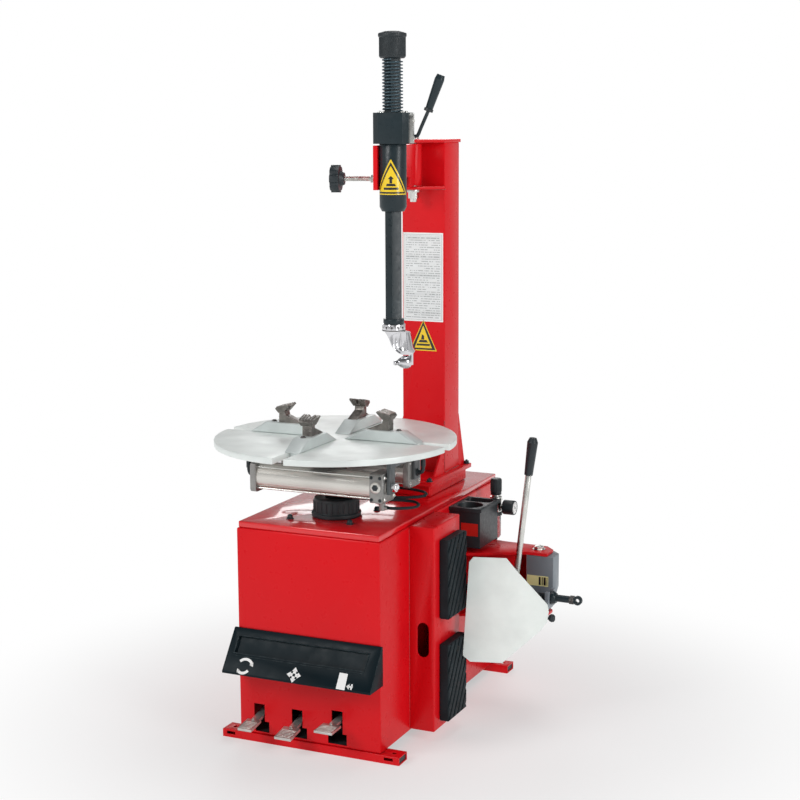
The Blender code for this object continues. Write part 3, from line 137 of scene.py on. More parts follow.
class Graph:
    """Adds shader nodes to a material; sockets and plain values both work as inputs."""

    def __init__(self, name):
        self.material = bpy.data.materials.new(name)
        self.material.use_nodes = True
        self.tree = self.material.node_tree
        self.shader = self.tree.nodes["Principled BSDF"]
        self.point = self.node("ShaderNodeTexCoord").outputs["Object"]

    def node(self, kind, inputs=None, **settings):
        made = self.tree.nodes.new(kind)
        for key, value in settings.items():
            setattr(made, key, value)
        for key, value in (inputs or {}).items():
            self.set(made.inputs[key], value)
        return made

    def set(self, socket, value):
        if isinstance(value, bpy.types.NodeSocket):
            self.tree.links.new(value, socket)
        else:
            socket.default_value = value

    def tune(self, settings):
        for key, value in settings.items():
            self.set(self.shader.inputs[key], value)

    def noise(self, scale, detail, stretch=None, rough=0.5):
        point = self.point
        if stretch:
            point = self.node("ShaderNodeMapping", {"Vector": point, "Scale": stretch}).outputs[0]
        inputs = {"Vector": point, "Scale": scale, "Detail": detail, "Roughness": rough}
        return self.node("ShaderNodeTexNoise", inputs).outputs[0]

    def spread(self, value, low, high, start=0.0, end=1.0):
        inputs = {"Value": value, "From Min": low, "From Max": high, "To Min": start, "To Max": end}
        return self.node("ShaderNodeMapRange", inputs).outputs[0]

    def math(self, operation, first, second=0):
        return self.node("ShaderNodeMath", {0: first, 1: second}, operation=operation).outputs[0]

    def times(self, first, second):
        return self.math("MULTIPLY", first, second)

    def distance(self, x, y):
        return self.math("SQRT", self.math("ADD", self.times(x, x), self.times(y, y)))

    def mix(self, factor, first, second):
        return self.node("ShaderNodeMixRGB", {0: factor, 1: first, 2: second}).outputs[0]

    def edges(self, width):
        """1 near edges, 0 on flat areas."""
        rounded = self.node("ShaderNodeBevel", {"Radius": width}, samples=4).outputs[0]
        plain = self.node("ShaderNodeNewGeometry").outputs["Normal"]
        dot = self.node("ShaderNodeVectorMath", {0: rounded, 1: plain}, operation="DOT_PRODUCT")
        return self.spread(dot.outputs["Value"], 0.995, 0.93)

    def bump(self, height, strength, distance):
        inputs = {"Height": height, "Strength": strength, "Distance": distance}
        if self.shader.inputs["Normal"].links:
            inputs["Normal"] = self.shader.inputs["Normal"].links[0].from_socket
        self.tune({"Normal": self.node("ShaderNodeBump", inputs).outputs[0]})


def rgba(colour, factor=1.0):
    return (*(min(1.0, c * factor) for c in colour), 1.0)


def surface(name, colour, rough, metal=0, coat=0, *, tint, bump, grain=(60, 0.04), stretch=None,
            coarse=None, wear=None, dust=0, specular=0.5):
    """A finish: colour drift, roughness grain, fine and coarse bump, worn edges and settled dust."""
    g = Graph(name)
    g.tune({"Metallic": metal, "Specular IOR Level": specular})
    if coat:
        g.tune({"Coat Weight": coat, "Coat Roughness": 0.03})
    drift = g.spread(g.noise(tint[0], 4), 0.3, 0.7)
    base = g.mix(drift, rgba(colour, 1 - tint[1]), rgba(colour, 1 + tint[1]))
    smooth, coarsest = max(0.02, rough - grain[1]), rough + grain[1]
    roughness = g.spread(g.noise(grain[0], 3, stretch), 0.3, 0.7, smooth, coarsest)
    if wear:
        worn_colour, width, amount = wear
        patchy = g.spread(g.noise(90, 5), 0.42, 0.62, 0.0, amount)
        mask = g.times(g.edges(width), patchy)
        base = g.mix(mask, base, rgba(worn_colour))
    if dust:
        normal = g.node("ShaderNodeNewGeometry").outputs["Normal"]
        up = g.node("ShaderNodeSeparateXYZ", {0: normal}).outputs[2]
        settled = g.spread(g.noise(25, 6, rough=0.7), 0.45, 0.75, 0, dust)
        lying = g.times(g.spread(up, 0.6, 1.0), settled)
        base = g.mix(lying, base, (0.55, 0.53, 0.5, 1))
        roughness = g.math("ADD", roughness, g.times(lying, 0.4))
    g.tune({"Base Color": base, "Roughness": roughness})
    if coarse:
        g.bump(g.noise(coarse[0], 3), coarse[1], coarse[2])
    g.bump(g.noise(bump[0], 3, stretch), bump[1], bump[2])
    return g


def lathe_marks(g, centre, pitch, strength):
    """Fine rings left by turning, about an upright axis."""
    x, y, _ = g.node("ShaderNodeSeparateXYZ", {0: g.point}).outputs
    radius = g.distance(g.math("SUBTRACT", x, centre[0]), g.math("SUBTRACT", y, centre[1]))
    rings = g.node("ShaderNodeTexNoise", {"W": g.times(radius, 1 / pitch), "Scale": 1.0, "Detail": 2.0},
                   noise_dimensions="1D")
    g.bump(rings.outputs[0], strength, 0.0003)


M = {}


def keep(g):
    M[g.material.name] = g.material
    return g.material


def make_materials():
    def finish(*values, **settings):
        keep(surface(*values, **settings))

    red = (0.69, 0.005, 0.01)
    finish("red_paint", red, 0.3, tint=(3.0, 0.035), grain=(40, 0.04), bump=(260, 0.014, 0.0004),
           coarse=(18, 0.01, 0.002), specular=0.2)
    finish("red_lid", red, 0.2, coat=0.6, tint=(3.0, 0.03), grain=(30, 0.04), bump=(150, 0.03, 0.0006),
           coarse=(9, 0.02, 0.003))
    finish("grey_paint", (0.215, 0.245, 0.275), 0.42, tint=(8, 0.08), grain=(70, 0.08),
           bump=(500, 0.12, 0.0004), coarse=(40, 0.06, 0.001), wear=((0.35, 0.35, 0.35), 0.002, 0.5))
    finish("black_paint", (0.011, 0.021, 0.026), 0.34, tint=(12, 0.2), grain=(90, 0.09), specular=0.35,
           bump=(420, 0.1, 0.0004), wear=((0.09, 0.11, 0.12), 0.0012, 0.5))
    finish("black_plastic", (0.012, 0.019, 0.023), 0.46, tint=(9, 0.15), grain=(120, 0.06),
           bump=(1600, 0.22, 0.0003), wear=((0.04, 0.05, 0.055), 0.0012, 0.5))
    finish("console_plastic", (0.004, 0.011, 0.015), 0.4, tint=(5, 0.15), grain=(30, 0.07),
           bump=(1100, 0.16, 0.0003), coarse=(22, 0.05, 0.001), specular=0.12,
           wear=((0.09, 0.12, 0.13), 0.0014, 0.8))
    finish("rubber", (0.009, 0.016, 0.02), 0.66, tint=(20, 0.25), grain=(150, 0.1), bump=(900, 0.35, 0.0004),
           coarse=(60, 0.1, 0.001), dust=0.03, specular=0.25)
    finish("spring_steel", (0.05, 0.085, 0.105), 0.3, 0.3, tint=(30, 0.2), grain=(90, 0.1),
           bump=(500, 0.1, 0.0003))
    finish("zinc_steel", (0.66, 0.66, 0.63), 0.3, 1.0, tint=(30, 0.14), grain=(60, 0.12),
           bump=(700, 0.1, 0.0003), wear=((0.85, 0.85, 0.83), 0.001, 0.5))
    finish("pedal_alloy", (0.6, 0.59, 0.56), 0.4, 0.75, tint=(40, 0.15), grain=(120, 0.14),
           bump=(900, 0.2, 0.0003), coarse=(120, 0.15, 0.0006), wear=((0.8, 0.8, 0.78), 0.001, 0.6))
    plate = surface("table_steel", (0.76, 0.8, 0.78), 0.46, 0.2, tint=(9, 0.09), grain=(26, 0.08),
                    bump=(900, 0.08, 0.0003), coarse=(30, 0.05, 0.0008))
    lathe_marks(plate, table(0, 0, 0), 0.0011, 0.07)
    keep(plate)
    finish("slide_steel", (0.62, 0.67, 0.66), 0.38, 0.3, tint=(14, 0.07), grain=(40, 0.1),
           bump=(700, 0.1, 0.0003), stretch=(1, 6, 1))
    # Painted shade: a dark copy of the slide steel, for the slides' parts below the table top.
    finish("slide_under", (0.1, 0.11, 0.115), 0.5, 0.6, tint=(14, 0.12), grain=(40, 0.1),
           bump=(500, 0.2, 0.0004))
    finish("blade_paint", (0.84, 0.89, 0.86), 0.44, 0.1, tint=(16, 0.05), grain=(30, 0.08),
           bump=(380, 0.14, 0.0004), coarse=(26, 0.16, 0.0016), wear=((0.55, 0.57, 0.57), 0.0014, 0.5))
    finish("dark_steel", (0.075, 0.072, 0.07), 0.38, 0.9, tint=(40, 0.3), grain=(90, 0.14),
           bump=(600, 0.3, 0.0004), coarse=(120, 0.2, 0.0006), wear=((0.55, 0.53, 0.5), 0.0016, 0.9))
    finish("jaw_steel", (0.2, 0.185, 0.17), 0.42, 0.8, tint=(60, 0.35), grain=(120, 0.14),
           bump=(600, 0.35, 0.0004), coarse=(160, 0.3, 0.0006), wear=((0.62, 0.6, 0.56), 0.0016, 0.9))
    finish("chrome", (0.66, 0.66, 0.68), 0.12, 1.0, tint=(30, 0.1), grain=(60, 0.06),
           bump=(300, 0.1, 0.0004), coarse=(70, 0.3, 0.0012))
    finish("chrome_rod", (0.8, 0.8, 0.82), 0.07, 1.0, tint=(30, 0.04), grain=(80, 0.03),
           bump=(800, 0.02, 0.0002))
    finish("aluminium", (0.66, 0.64, 0.6), 0.33, 0.85, tint=(10, 0.07), grain=(60, 0.1),
           stretch=(0.05, 8, 8), bump=(300, 0.12, 0.0003), wear=((0.85, 0.84, 0.8), 0.001, 0.5))
    finish("cast_alloy", (0.3, 0.295, 0.285), 0.45, 0.8, tint=(24, 0.12), grain=(120, 0.12),
           bump=(500, 0.35, 0.0005), coarse=(160, 0.2, 0.0006), wear=((0.8, 0.79, 0.77), 0.001, 0.7))
    finish("cast_iron", (0.1, 0.105, 0.11), 0.62, 0.7, tint=(24, 0.2), grain=(90, 0.12),
           bump=(300, 0.5, 0.0006), coarse=(90, 0.3, 0.001))
    finish("motor_paint", (0.06, 0.11, 0.2), 0.42, tint=(10, 0.12), grain=(60, 0.1), bump=(400, 0.2, 0.0004),
           dust=0.05)
    finish("white_print", (0.86, 0.87, 0.86), 0.4, tint=(25, 0.03), bump=(300, 0.06, 0.0003))
    finish("weld", (0.48, 0.005, 0.008), 0.3, coat=0.4, tint=(60, 0.1), bump=(180, 0.5, 0.001))
    # Painted shade: near-black fill that stands for the shade inside the wheel pads' holes.
    finish("seat_dark", (0.008, 0.008, 0.008), 0.8, tint=(40, 0.3), bump=(500, 0.3, 0.0005))
    for name, colour, rough, coat, drift in (
            ("yellow", (0.88, 0.6, 0.01), 0.3, 0.3, 0.04), ("pale", (0.94, 0.88, 0.42), 0.34, 0.2, 0.05),
            ("black", (0.01, 0.01, 0.01), 0.3, 0.3, 0.1), ("grey", (0.3, 0.31, 0.32), 0.34, 0, 0.05),
            ("red", (0.6, 0.02, 0.014), 0.35, 0, 0.05)):
        finish(name + "_film", colour, rough, coat=coat, tint=(20, drift), bump=(250, 0.05, 0.0003))
    keep(clear_material())
    keep(chart_material())


def clear_material():
    g = surface("clear_bowl", (0.8, 0.86, 0.86), 0.12, tint=(20, 0.03), bump=(200, 0.05, 0.0004))
    g.tune({"Transmission Weight": 0.85, "IOR": 1.49})
    return g


def chart_material():
    """A sheet of small grey rules on white, as a generic table of notes without words."""
    g = surface("chart_print", (0.78, 0.8, 0.8), 0.36, coat=0.2, tint=(12, 0.03), bump=(200, 0.05, 0.0003))
    x, _, z = g.node("ShaderNodeSeparateXYZ", {0: g.point}).outputs
    pitch = 0.0068
    lines = g.times(z, 1 / pitch)

    def speckle(along, step, seed):
        place = {0: g.times(x, along), 1: g.times(g.math("FLOOR", lines), step), 2: seed}
        inputs = {"Vector": g.node("ShaderNodeCombineXYZ", place).outputs[0], "Scale": 1.0, "Detail": 1.0}
        return g.node("ShaderNodeTexNoise", inputs).outputs[0]

    def between(value, low, high):
        return g.times(g.math("GREATER_THAN", value, low), g.math("LESS_THAN", value, high))

    letters = g.math("GREATER_THAN", speckle(260, 7.3, 0.0), 0.44)
    layout = g.math("GREATER_THAN", speckle(30, 0.45, 3.0), 0.4)
    ink = g.times(g.times(letters, layout), between(g.math("FRACT", lines), 0.34, 0.66))
    header = g.math("GREATER_THAN", g.math("FRACT", g.times(z, 1 / (8 * pitch))), 0.86)
    inside = g.times(between(x, cab(0.2385, 0, 0).x, cab(0.3475, 0, 0).x), between(z, 1.1225, 1.363))
    ink = g.times(g.math("ADD", ink, g.times(header, 0.22)), inside)
    base = g.shader.inputs["Base Color"].links[0].from_socket
    g.tune({"Base Color": g.mix(g.times(ink, 0.62), base, (0.1, 0.11, 0.12, 1))})
    return g


make_materials()


# ---- mesh helpers ----

class Shape:
    """Collects closed bodies in one mesh. place turns local coordinates into the row frame."""

    def __init__(self, place=cab):
        self.place, self.mesh = place, bmesh.new()
        self.vert, self.face = self.mesh.verts.new, self.mesh.faces.new

    def rod(self, a, b, radius, end_radius=None, segments=20):
        a, b = self.place(*a), self.place(*b)
        turn = Vector((0, 0, 1)).rotation_difference((b - a).normalized()).to_matrix().to_4x4()
        bmesh.ops.create_cone(self.mesh, cap_ends=True, segments=segments, radius1=radius,
                              radius2=radius if end_radius is None else end_radius, depth=(b - a).length,
                              matrix=Matrix.Translation((a + b) / 2) @ turn)

    def block(self, low, high):
        corners = [(x, y, z) for z in (low[2], high[2]) for x, y in
                   ((low[0], low[1]), (high[0], low[1]), (high[0], high[1]), (low[0], high[1]))]
        v = [self.vert(self.place(*c)) for c in corners]
        for quad in ((3, 2, 1, 0), (4, 5, 6, 7), (0, 1, 5, 4), (1, 2, 6, 5), (2, 3, 7, 6), (3, 0, 4, 7)):
            self.face([v[i] for i in quad])

    def prism(self, outline, push):
        """outline is a list of local points in one plane, and push the local vector to the other face."""
        near = [self.vert(self.place(*p)) for p in outline]
        far = [self.vert(self.place(*(Vector(p) + Vector(push)))) for p in outline]
        count = len(outline)
        self.face(near[::-1])
        self.face(far)
        for i in range(count):
            j = (i + 1) % count
            self.face((near[i], near[j], far[j], far[i]))

    def lathe(self, profile, base, axis, segments):
        """profile is a closed list of (radius, height) along axis from base."""
        base = self.place(*base)
        axis = (self.place(*axis) - self.place(0, 0, 0)).normalized()
        turn = Vector((0, 0, 1)).rotation_difference(axis).to_matrix()
        rings = []
        for radius, height in profile:
            if radius < 1e-6:
                rings.append([self.vert(base + axis * height)])
                continue
            ring = circle(segments, radius)
            rings.append([self.vert(base + turn @ Vector((x, y, height))) for x, y in ring])
        pairs = list(zip(rings, rings[1:]))
        if profile[0][0] > 1e-6:
            pairs.append((rings[-1], rings[0]))
        for a, b in pairs:
            for i in range(segments):
                j = (i + 1) % segments
                corners = [a[i % len(a)], a[j % len(a)], b[j % len(b)], b[i % len(b)]]
                unique = list(dict.fromkeys(corners))
                if len(unique) > 2:
                    self.face(unique)

    def disc(self, radius, low, high, base, axis, segments):
        self.lathe([(0, high), (radius, high), (radius, low), (0, low)], base, axis, segments)

    def tube(self, points, radius, segments=12):
        points = [self.place(*p) for p in points]
        normal = None
        rings = []
        for i, point in enumerate(points):
            ahead = (points[min(i + 1, len(points) - 1)] - points[max(i - 1, 0)]).normalized()
            if normal is None:
                normal = ahead.orthogonal().normalized()
            normal = (normal - ahead * normal.dot(ahead)).normalized()
            other = ahead.cross(normal)
            r = radius(i / (len(points) - 1)) if callable(radius) else radius
            rings.append([self.vert(point + x * normal + y * other) for x, y in circle(segments, r)])
        for a, b in zip(rings, rings[1:]):
            for i in range(segments):
                j = (i + 1) % segments
                self.face((a[i], a[j], b[j], b[i]))
        self.face(rings[0][::-1])
        self.face(rings[-1])
        return self

    def done(self, name, body, material, bevel=0, angle=35):
        bmesh.ops.recalc_face_normals(self.mesh, faces=self.mesh.faces)
        data = bpy.data.meshes.new(name)
        self.mesh.to_mesh(data)
        self.mesh.free()
        obj = add_object(name, data)
        data.materials.append(M[material])
        data.shade_smooth()
        data.set_sharp_from_angle(angle=radians(angle))
        if bevel:
            round_off(obj, bevel)
        if body:
            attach(obj, body)
        return obj


def round_off(obj, width):
    modifier = obj.modifiers.new("round_edges", "BEVEL")
    modifier.width, modifier.segments = width, 2
    modifier.limit_method, modifier.angle_limit = "ANGLE", radians(35)
    modifier.harden_normals = True


def smooth_path(points, steps):
    route = [Vector(p) for p in points]
    route = [2 * route[0] - route[1], *route, 2 * route[-1] - route[-2]]
    path = []
    for a, b, c, d in zip(route, route[1:], route[2:], route[3:]):
        for i in range(steps):
            t = i / steps
            bend = (2 * a - 5 * b + 4 * c - d) * t**2 + (3 * b - a - 3 * c + d) * t**3
            path.append(0.5 * (2 * b + (c - a) * t + bend))
    return path + [route[-2]]


# ---- CAD nodes: finishes and rounded edges ----

THIN, USUAL = 0.0006, 0.001  # edge rounding
FINISH = {  # node: (material, edge rounding)
    "top_plate": ("red_lid", 0.0012), "pedal_console": ("console_plastic", 0.0016),
    "turntable": ("table_steel", 0.0012), "mount_head": ("chrome", 0.0009), "head_roller": ("chrome", 0.0008),
    "clamp_rod_front": ("chrome_rod", THIN), "clamp_rod_rear": ("chrome_rod", THIN),
    "filter_bowl": ("clear_bowl", THIN), "pedal_frame": ("cast_iron", THIN),
    **{f"jaw_{side}": ("jaw_steel", THIN) for side in SIDES},
    **{f"jaw_slide_{side}": ("slide_steel", USUAL) for side in SIDES},
    **{f"pedal_{number}": ("pedal_alloy", USUAL) for number in (1, 2, 3)},
}
THIN_EDGED = ("clamp_hose_front", "clamp_hose_rear", "return_spring", "drive_belt", "cabinet_shell")


def second_finish(obj, material, belongs):
    """Gives the faces whose middle passes the test another material."""
    obj.data.materials.append(M[material])
    for face in obj.data.polygons:
        if belongs(obj.matrix_world @ face.center):
            face.material_index = 1


BARREL = (-0.174, 0.168)  # the clamp cylinders' plain stretch, from the table's middle along x


def on_cylinder_cap(point, turn):
    x = (point.x - table(0, 0, 0).x) * turn
    return x < BARREL[0] + 0.0001 or x > BARREL[1] - 0.0001


def finish_nodes():
    slots = {part["node"]: part["material_slot"] for part in frame["record"]["subparts"]}
    for name, obj in NODES.items():
        material, width = FINISH.get(name) or (slots[name], USUAL)
        obj.data.materials.clear()
        obj.data.materials.append(M[material])
        obj.data.shade_smooth()
        weld = obj.modifiers.new("weld", "WELD")
        weld.merge_threshold = 0.00001
        flat = obj.modifiers.new("flat", "DECIMATE")
        flat.decimate_type, flat.angle_limit = "DISSOLVE", radians(0.5)
        flat.delimit = {"MATERIAL"}
        round_off(obj, THIN if name in THIN_EDGED else width)
        # Jaw slides: faces below the table top get painted shade.
        if name.startswith("jaw_slide"):
            second_finish(obj, "slide_under", lambda point: point.z < SLIDE_STEEL_LOW)
        if name.startswith("clamp_cylinder"):
            turn = 1 if name.endswith("front") else -1
            second_finish(obj, "cast_alloy", lambda point, turn=turn: on_cylinder_cap(point, turn))


finish_nodes()


# ---- fasteners ----

def button_bolt(shape, at, axis, radius, height):
    """A domed socket screw with a washer."""
    domed = ((0, 1), (0.36, 1), (0.4, 0.55), (0.48, 0.55), (0.52, 1), (0.8, 0.85), (1, 0.45))
    washer = [(radius, 0.0012), (radius * 1.35, 0.0012), (radius * 1.35, 0.0001), (0, 0.0001)]
    shape.lathe([(radius * r, height * h) for r, h in domed] + washer, at, axis, 20)


def hex_bolt(shape, at, axis, radius, height, washer=1.35):
    at, axis = Vector(at), Vector(axis)
    shape.disc(radius * washer, 0.0001, 0.0016, at, axis, 24)
    shape.rod(at + axis * 0.0014, at + axis * (height * 0.85), radius, segments=6)
    shape.rod(at + axis * (height * 0.84), at + axis * height, radius * 0.98, radius * 0.8, 6)
    shape.rod(at + axis * (height * 0.9), at + axis * (height + 0.003), radius * 0.45, radius * 0.38, 12)


def add_cabinet_fasteners():
    lid = Shape()
    for x, y in ((0.1205, 0.084), (0.2985, 0.092), (0.2985, 0.264), (0.1205, 0.264)):
        button_bolt(lid, (x, y, 0.6206), UP, 0.008, 0.012)
    lid.done("gearbox_bolts", "base", "black_paint")

    foot = Shape()
    for x in (0.2145, 0.3695):
        for y in (0.467, 0.75):
            hex_bolt(foot, (x, y, 0.6674), UP, 0.0075, 0.009)
    foot.done("foot_bolts", "base", "black_paint", 0.0004)
    plugs = Shape()
    for x in (-0.052, 0.474):
        for y in (0.022, 0.832):
            plugs.block((x, y - 0.0225, 0.0033), (x + 0.008, y + 0.0225, 0.0197))
            plugs.block((x + 0.002, y - 0.01, 0.002), (x + 0.006, y + 0.01, 0.021))
    plugs.done("rail_plugs", "base", "black_plastic", 0.0008)

    cover = Shape()
    for x in (0.02, 0.41):
        for z in (0.33, 0.585):
            button_bolt(cover, (x, 0.854, z), (0, 1, 0), 0.005, 0.0035)
    for z in (0.3, 0.59):
        for y in (0.045, 0.805):
            button_bolt(cover, (0.0, y, z), (-1, 0, 0), 0.005, 0.0035)
    cover.done("cover_screws", "base", "zinc_steel")
    # Near-black cups sunk in the wheel pads' holes: painted shade for the holes' dark insides.
    plugs = Shape()
    for z in (0.08, 0.244, 0.374, 0.537):
        plugs.lathe([(0, 0.002), (0.0035, 0.0016), (0.005, 0.0052), (0.0075, 0.0056), (0.008, 0.0046),
                     (0.008, 0), (0, 0)], (0.5285, 0.288, z), RIGHT, 24)
    plugs.done("pad_sockets", "base", "seat_dark")


def add_arm_fasteners():
    head = Shape(shaft)
    for index in range(5):
        angle = radians(-60 + 30 * index)
        x, y = 0.0295 * cos(angle), 0.0295 * sin(angle)
        head.rod((x * 0.94, y * 0.94, 1.146), (x * 1.045, y * 1.045, 1.146), 0.0026, segments=12)
    head.rod((0, 0, 1.136), (0, 0, 1.1385), 0.0318, segments=32)
    head.done("head_screws", "vertical_shaft", "dark_steel", 0.0003)

    block = Shape(arm)
    for x in (-0.036, 0.028):
        for y in (-0.03, 0.03):
            button_bolt(block, (ARM_LENGTH + x, y, 1.7115), UP, 0.0045, 0.0045)
    block.done("lock_screws", "swing_arm", "zinc_steel")


def add_pedal_treads():
    pedals = ((0.061, 0.072, 8, 0.017), (0.178, 0.067, 10, 0.021), (0.3, 0.095, 2, 0.023))
    for index, (x, z, tilt, half) in enumerate(pedals, 1):
        slope = tan(radians(tilt))
        treads = Shape()
        for tread in range(6):
            y = -0.08 + 0.0068 * tread
            top = z + 0.003 - (-0.029 - y) * slope
            ridge = ((-half, -0.0003), (half, -0.0003), (half - 0.001, 0.0012), (0.001 - half, 0.0012))
            treads.prism([(x + dx, y, top + dz) for dx, dz in ridge], (0, 0.0026, 0.0026 * slope))
        hex_bolt(treads, (x, -0.035, z + 0.003 - 0.006 * slope), UP, 0.0042, 0.004)
        treads.done(f"pedal_{index}_treads", f"pedal_{index}", "pedal_alloy", 0.0003)


# ---- signs ----

def triangle(centre_x, base_z, half, height, inset=0.0):
    """Corners of an upright triangle drawn in by inset, as (u, v)."""
    slope = hypot(half, height) / half
    reach = half - inset * (slope + height / half) * 0.5
    return [(centre_x - reach, base_z + inset), (centre_x + reach, base_z + inset),
            (centre_x, base_z + height - inset * slope)]


def flat_sign(name, layers, face, body):
    """Thin layers on the face towards the front at y = face: (outline, height off the face, material)."""
    for index, (outline, height, material) in enumerate(layers):
        shape = Shape()
        shape.prism([(u, face - 0.00005, v) for u, v in outline], (0, -height, 0))
        shape.done(f"{name}_{index}", body, material)


def oblong(left, right, low, high):
    return [(left, low), (right, low), (right, high), (left, high)]


SYMBOL = (((-0.3, -0.26), (0.3, -0.26), (0.3, -0.18), (-0.3, -0.18)),
          ((-0.22, -0.12), (0.22, -0.12), (0.14, -0.02), (-0.16, -0.02)),
          ((-0.1, 0), (0.04, 0), (0.04, 0.16), (-0.06, 0.22)))


def symbol(cx, cz, size):
    """A generic plate, block and post, as outlines round a centre."""
    return [[(cx + x * size, cz + z * size) for x, z in outline] for outline in SYMBOL]


def add_signs():
    column_front, tray_front, arm_front = 0.6, 0.47, 0.5491
    flat_sign("column_chart", [
        (oblong(0.23, 0.356, 1.1135, 1.3718), 0.0003, "white_print"),
        (oblong(0.234, 0.352, 1.118, 1.3673), 0.0004, "grey_film"),
        (oblong(0.2348, 0.3512, 1.1188, 1.3665), 0.0005, "chart_print"),
    ], column_front, "base")
    u, low, half, high = 0.2932, 1.03, 0.039, 0.083
    layers = [(triangle(u, low - 0.003, half + 0.004, high + 0.008), 0.0003, "yellow_film"),
              (triangle(u, low, half, high), 0.0005, "black_film"),
              (triangle(u, low, half, high, 0.005), 0.0007, "yellow_film")]
    layers += [(outline, 0.0009, "black_film") for outline in symbol(u, low + 0.03, 0.07)]
    flat_sign("column_sign", layers, column_front, "base")
    wrapped_sign()
    flat_sign("tray_label", [(oblong(0.467, 0.519, 0.519, 0.556), 0.0004, "red_film")], tray_front, "base")
    layers = [(oblong(0.64, 0.7045, 0.3715, 0.4015), 0.0004, "pale_film")]
    layers += [(oblong(x, x + width, 0.3745, 0.3985), 0.0006, "black_film") for x, width in
               ((0.676, 0.006), (0.685, 0.003), (0.6905, 0.007), (0.7, 0.0022))]
    flat_sign("arm_label", layers, arm_front, "breaker_arm")


def wrapped_sign():
    """Triangle wrapped on the sleeve, on the side away from the hub."""
    low, high, half, sleeve_radius = 1.4985, 1.59, 0.05, 0.036

    def point(u, v, lift):
        angle = u / sleeve_radius
        r = sleeve_radius + 0.0001 + lift
        return shaft(r * cos(angle), r * sin(angle), v)

    def patch(name, rows, lift, material):
        """rows are (v, u_left, u_right)."""
        shape = Shape()
        columns = 16

        def line(v, a, b, depth):
            return [shape.vert(point(a + (b - a) * i / columns, v, depth)) for i in range(columns + 1)]

        sheets = [[line(*ends, depth) for ends in rows] for depth in (lift, -0.00005)]
        for grid in sheets:
            for r0, r1 in zip(grid, grid[1:]):
                for i in range(columns):
                    shape.face((r0[i], r0[i + 1], r1[i + 1], r1[i]))
        top, bottom = sheets
        for end in (0, -1):
            for i in range(columns):
                shape.face((top[end][i], top[end][i + 1], bottom[end][i + 1], bottom[end][i]))
            for j in range(len(rows) - 1):
                shape.face((top[j][end], top[j + 1][end], bottom[j + 1][end], bottom[j][end]))
        shape.done(f"sleeve_sign_{name}", "swing_arm", material)

    def tapered(bottom_v, top_v, bottom_half, top_half):
        rows, steps = [], 12
        for i in range(steps + 1):
            t = i / steps
            w = bottom_half + (top_half - bottom_half) * t
            rows.append((bottom_v + (top_v - bottom_v) * t, -w, w))
        return rows

    def straight(*rows):
        return [(low + up, -wide, wide) for up, wide in rows]

    patch("rim", tapered(low, high, half, 0.0012), 0.0002, "yellow_film")
    patch("border", tapered(low + 0.003, high - 0.008, half - 0.0048, 0.001), 0.0004, "black_film")
    patch("field", tapered(low + 0.0075, high - 0.0175, half - 0.0125, 0.0009), 0.0006, "yellow_film")
    patch("plate", straight((0.013, 0.02), (0.019, 0.02)), 0.0008, "black_film")
    patch("block", straight((0.0225, 0.013), (0.029, 0.011)), 0.0008, "black_film")
    post = straight((0.03, 0.0035), (0.041, 0.0035), (0.0411, 0.008), (0.049, 0.0008))
    patch("post", post, 0.0008, "black_film")


SLOPE_TOP_Y, SLOPE_TOP_Z = -0.006, 0.323  # upper edge of the pedal console's slope
SLOPE_DOWN = Vector((0, -0.587, -0.809))
SLOPE_OUT = Vector((0, -0.809, 0.587))


def on_slope(x, s, lift):
    return Vector((x, SLOPE_TOP_Y, SLOPE_TOP_Z)) + SLOPE_DOWN * s + SLOPE_OUT * lift


def slab(shape, outline, low=-0.0002, thick=0.0008):
    """A flat raised figure on the console's slope; outline is in (x, s)."""
    shape.prism([on_slope(x, s, low) for x, s in outline], SLOPE_OUT * thick)


def across(a, b, width):
    """Half of width, square to the way from a to b."""
    dx, ds = b[0] - a[0], b[1] - a[1]
    size = hypot(dx, ds)
    return -ds / size * width / 2, dx / size * width / 2


def ribbon(shape, points, width):
    """A stroke through (x, s) points."""
    near, far = [], []
    for i, (x, s) in enumerate(points):
        nx, ns = across(points[max(i - 1, 0)], points[min(i + 1, len(points) - 1)], width)
        near.append((x + nx, s + ns))
        far.append((x - nx, s - ns))
    slab(shape, near + far[::-1])


def curve_through(a, b, c):
    """Points on the circle through three points."""
    count = 10
    (x1, y1), (x2, y2), (x3, y3) = a, b, c
    d = 2 * (x1 * (y2 - y3) + x2 * (y3 - y1) + x3 * (y1 - y2))
    ux = ((x1**2 + y1**2) * (y2 - y3) + (x2**2 + y2**2) * (y3 - y1) + (x3**2 + y3**2) * (y1 - y2)) / d
    uy = ((x1**2 + y1**2) * (x3 - x2) + (x2**2 + y2**2) * (x1 - x3) + (x3**2 + y3**2) * (x2 - x1)) / d
    radius = hypot(x1 - ux, y1 - uy)
    start, middle, end = (atan2(y - uy, x - ux) for x, y in (a, b, c))
    middle = nearest_turn(middle, start)
    end = nearest_turn(end, middle)
    return [(ux + radius * cos(t), uy + radius * sin(t)) for t in
            (start + (end - start) * i / count for i in range(count + 1))]


def nearest_turn(angle, other):
    """angle, whole turns added or taken off to bring it within half a turn of other."""
    return angle - tau * round((angle - other) / tau)


def arrow_head(shape, tip, back, width):
    nx, ns = across(back, tip, width)
    slab(shape, (tip, (back[0] + nx, back[1] + ns), (back[0] - nx, back[1] - ns)))


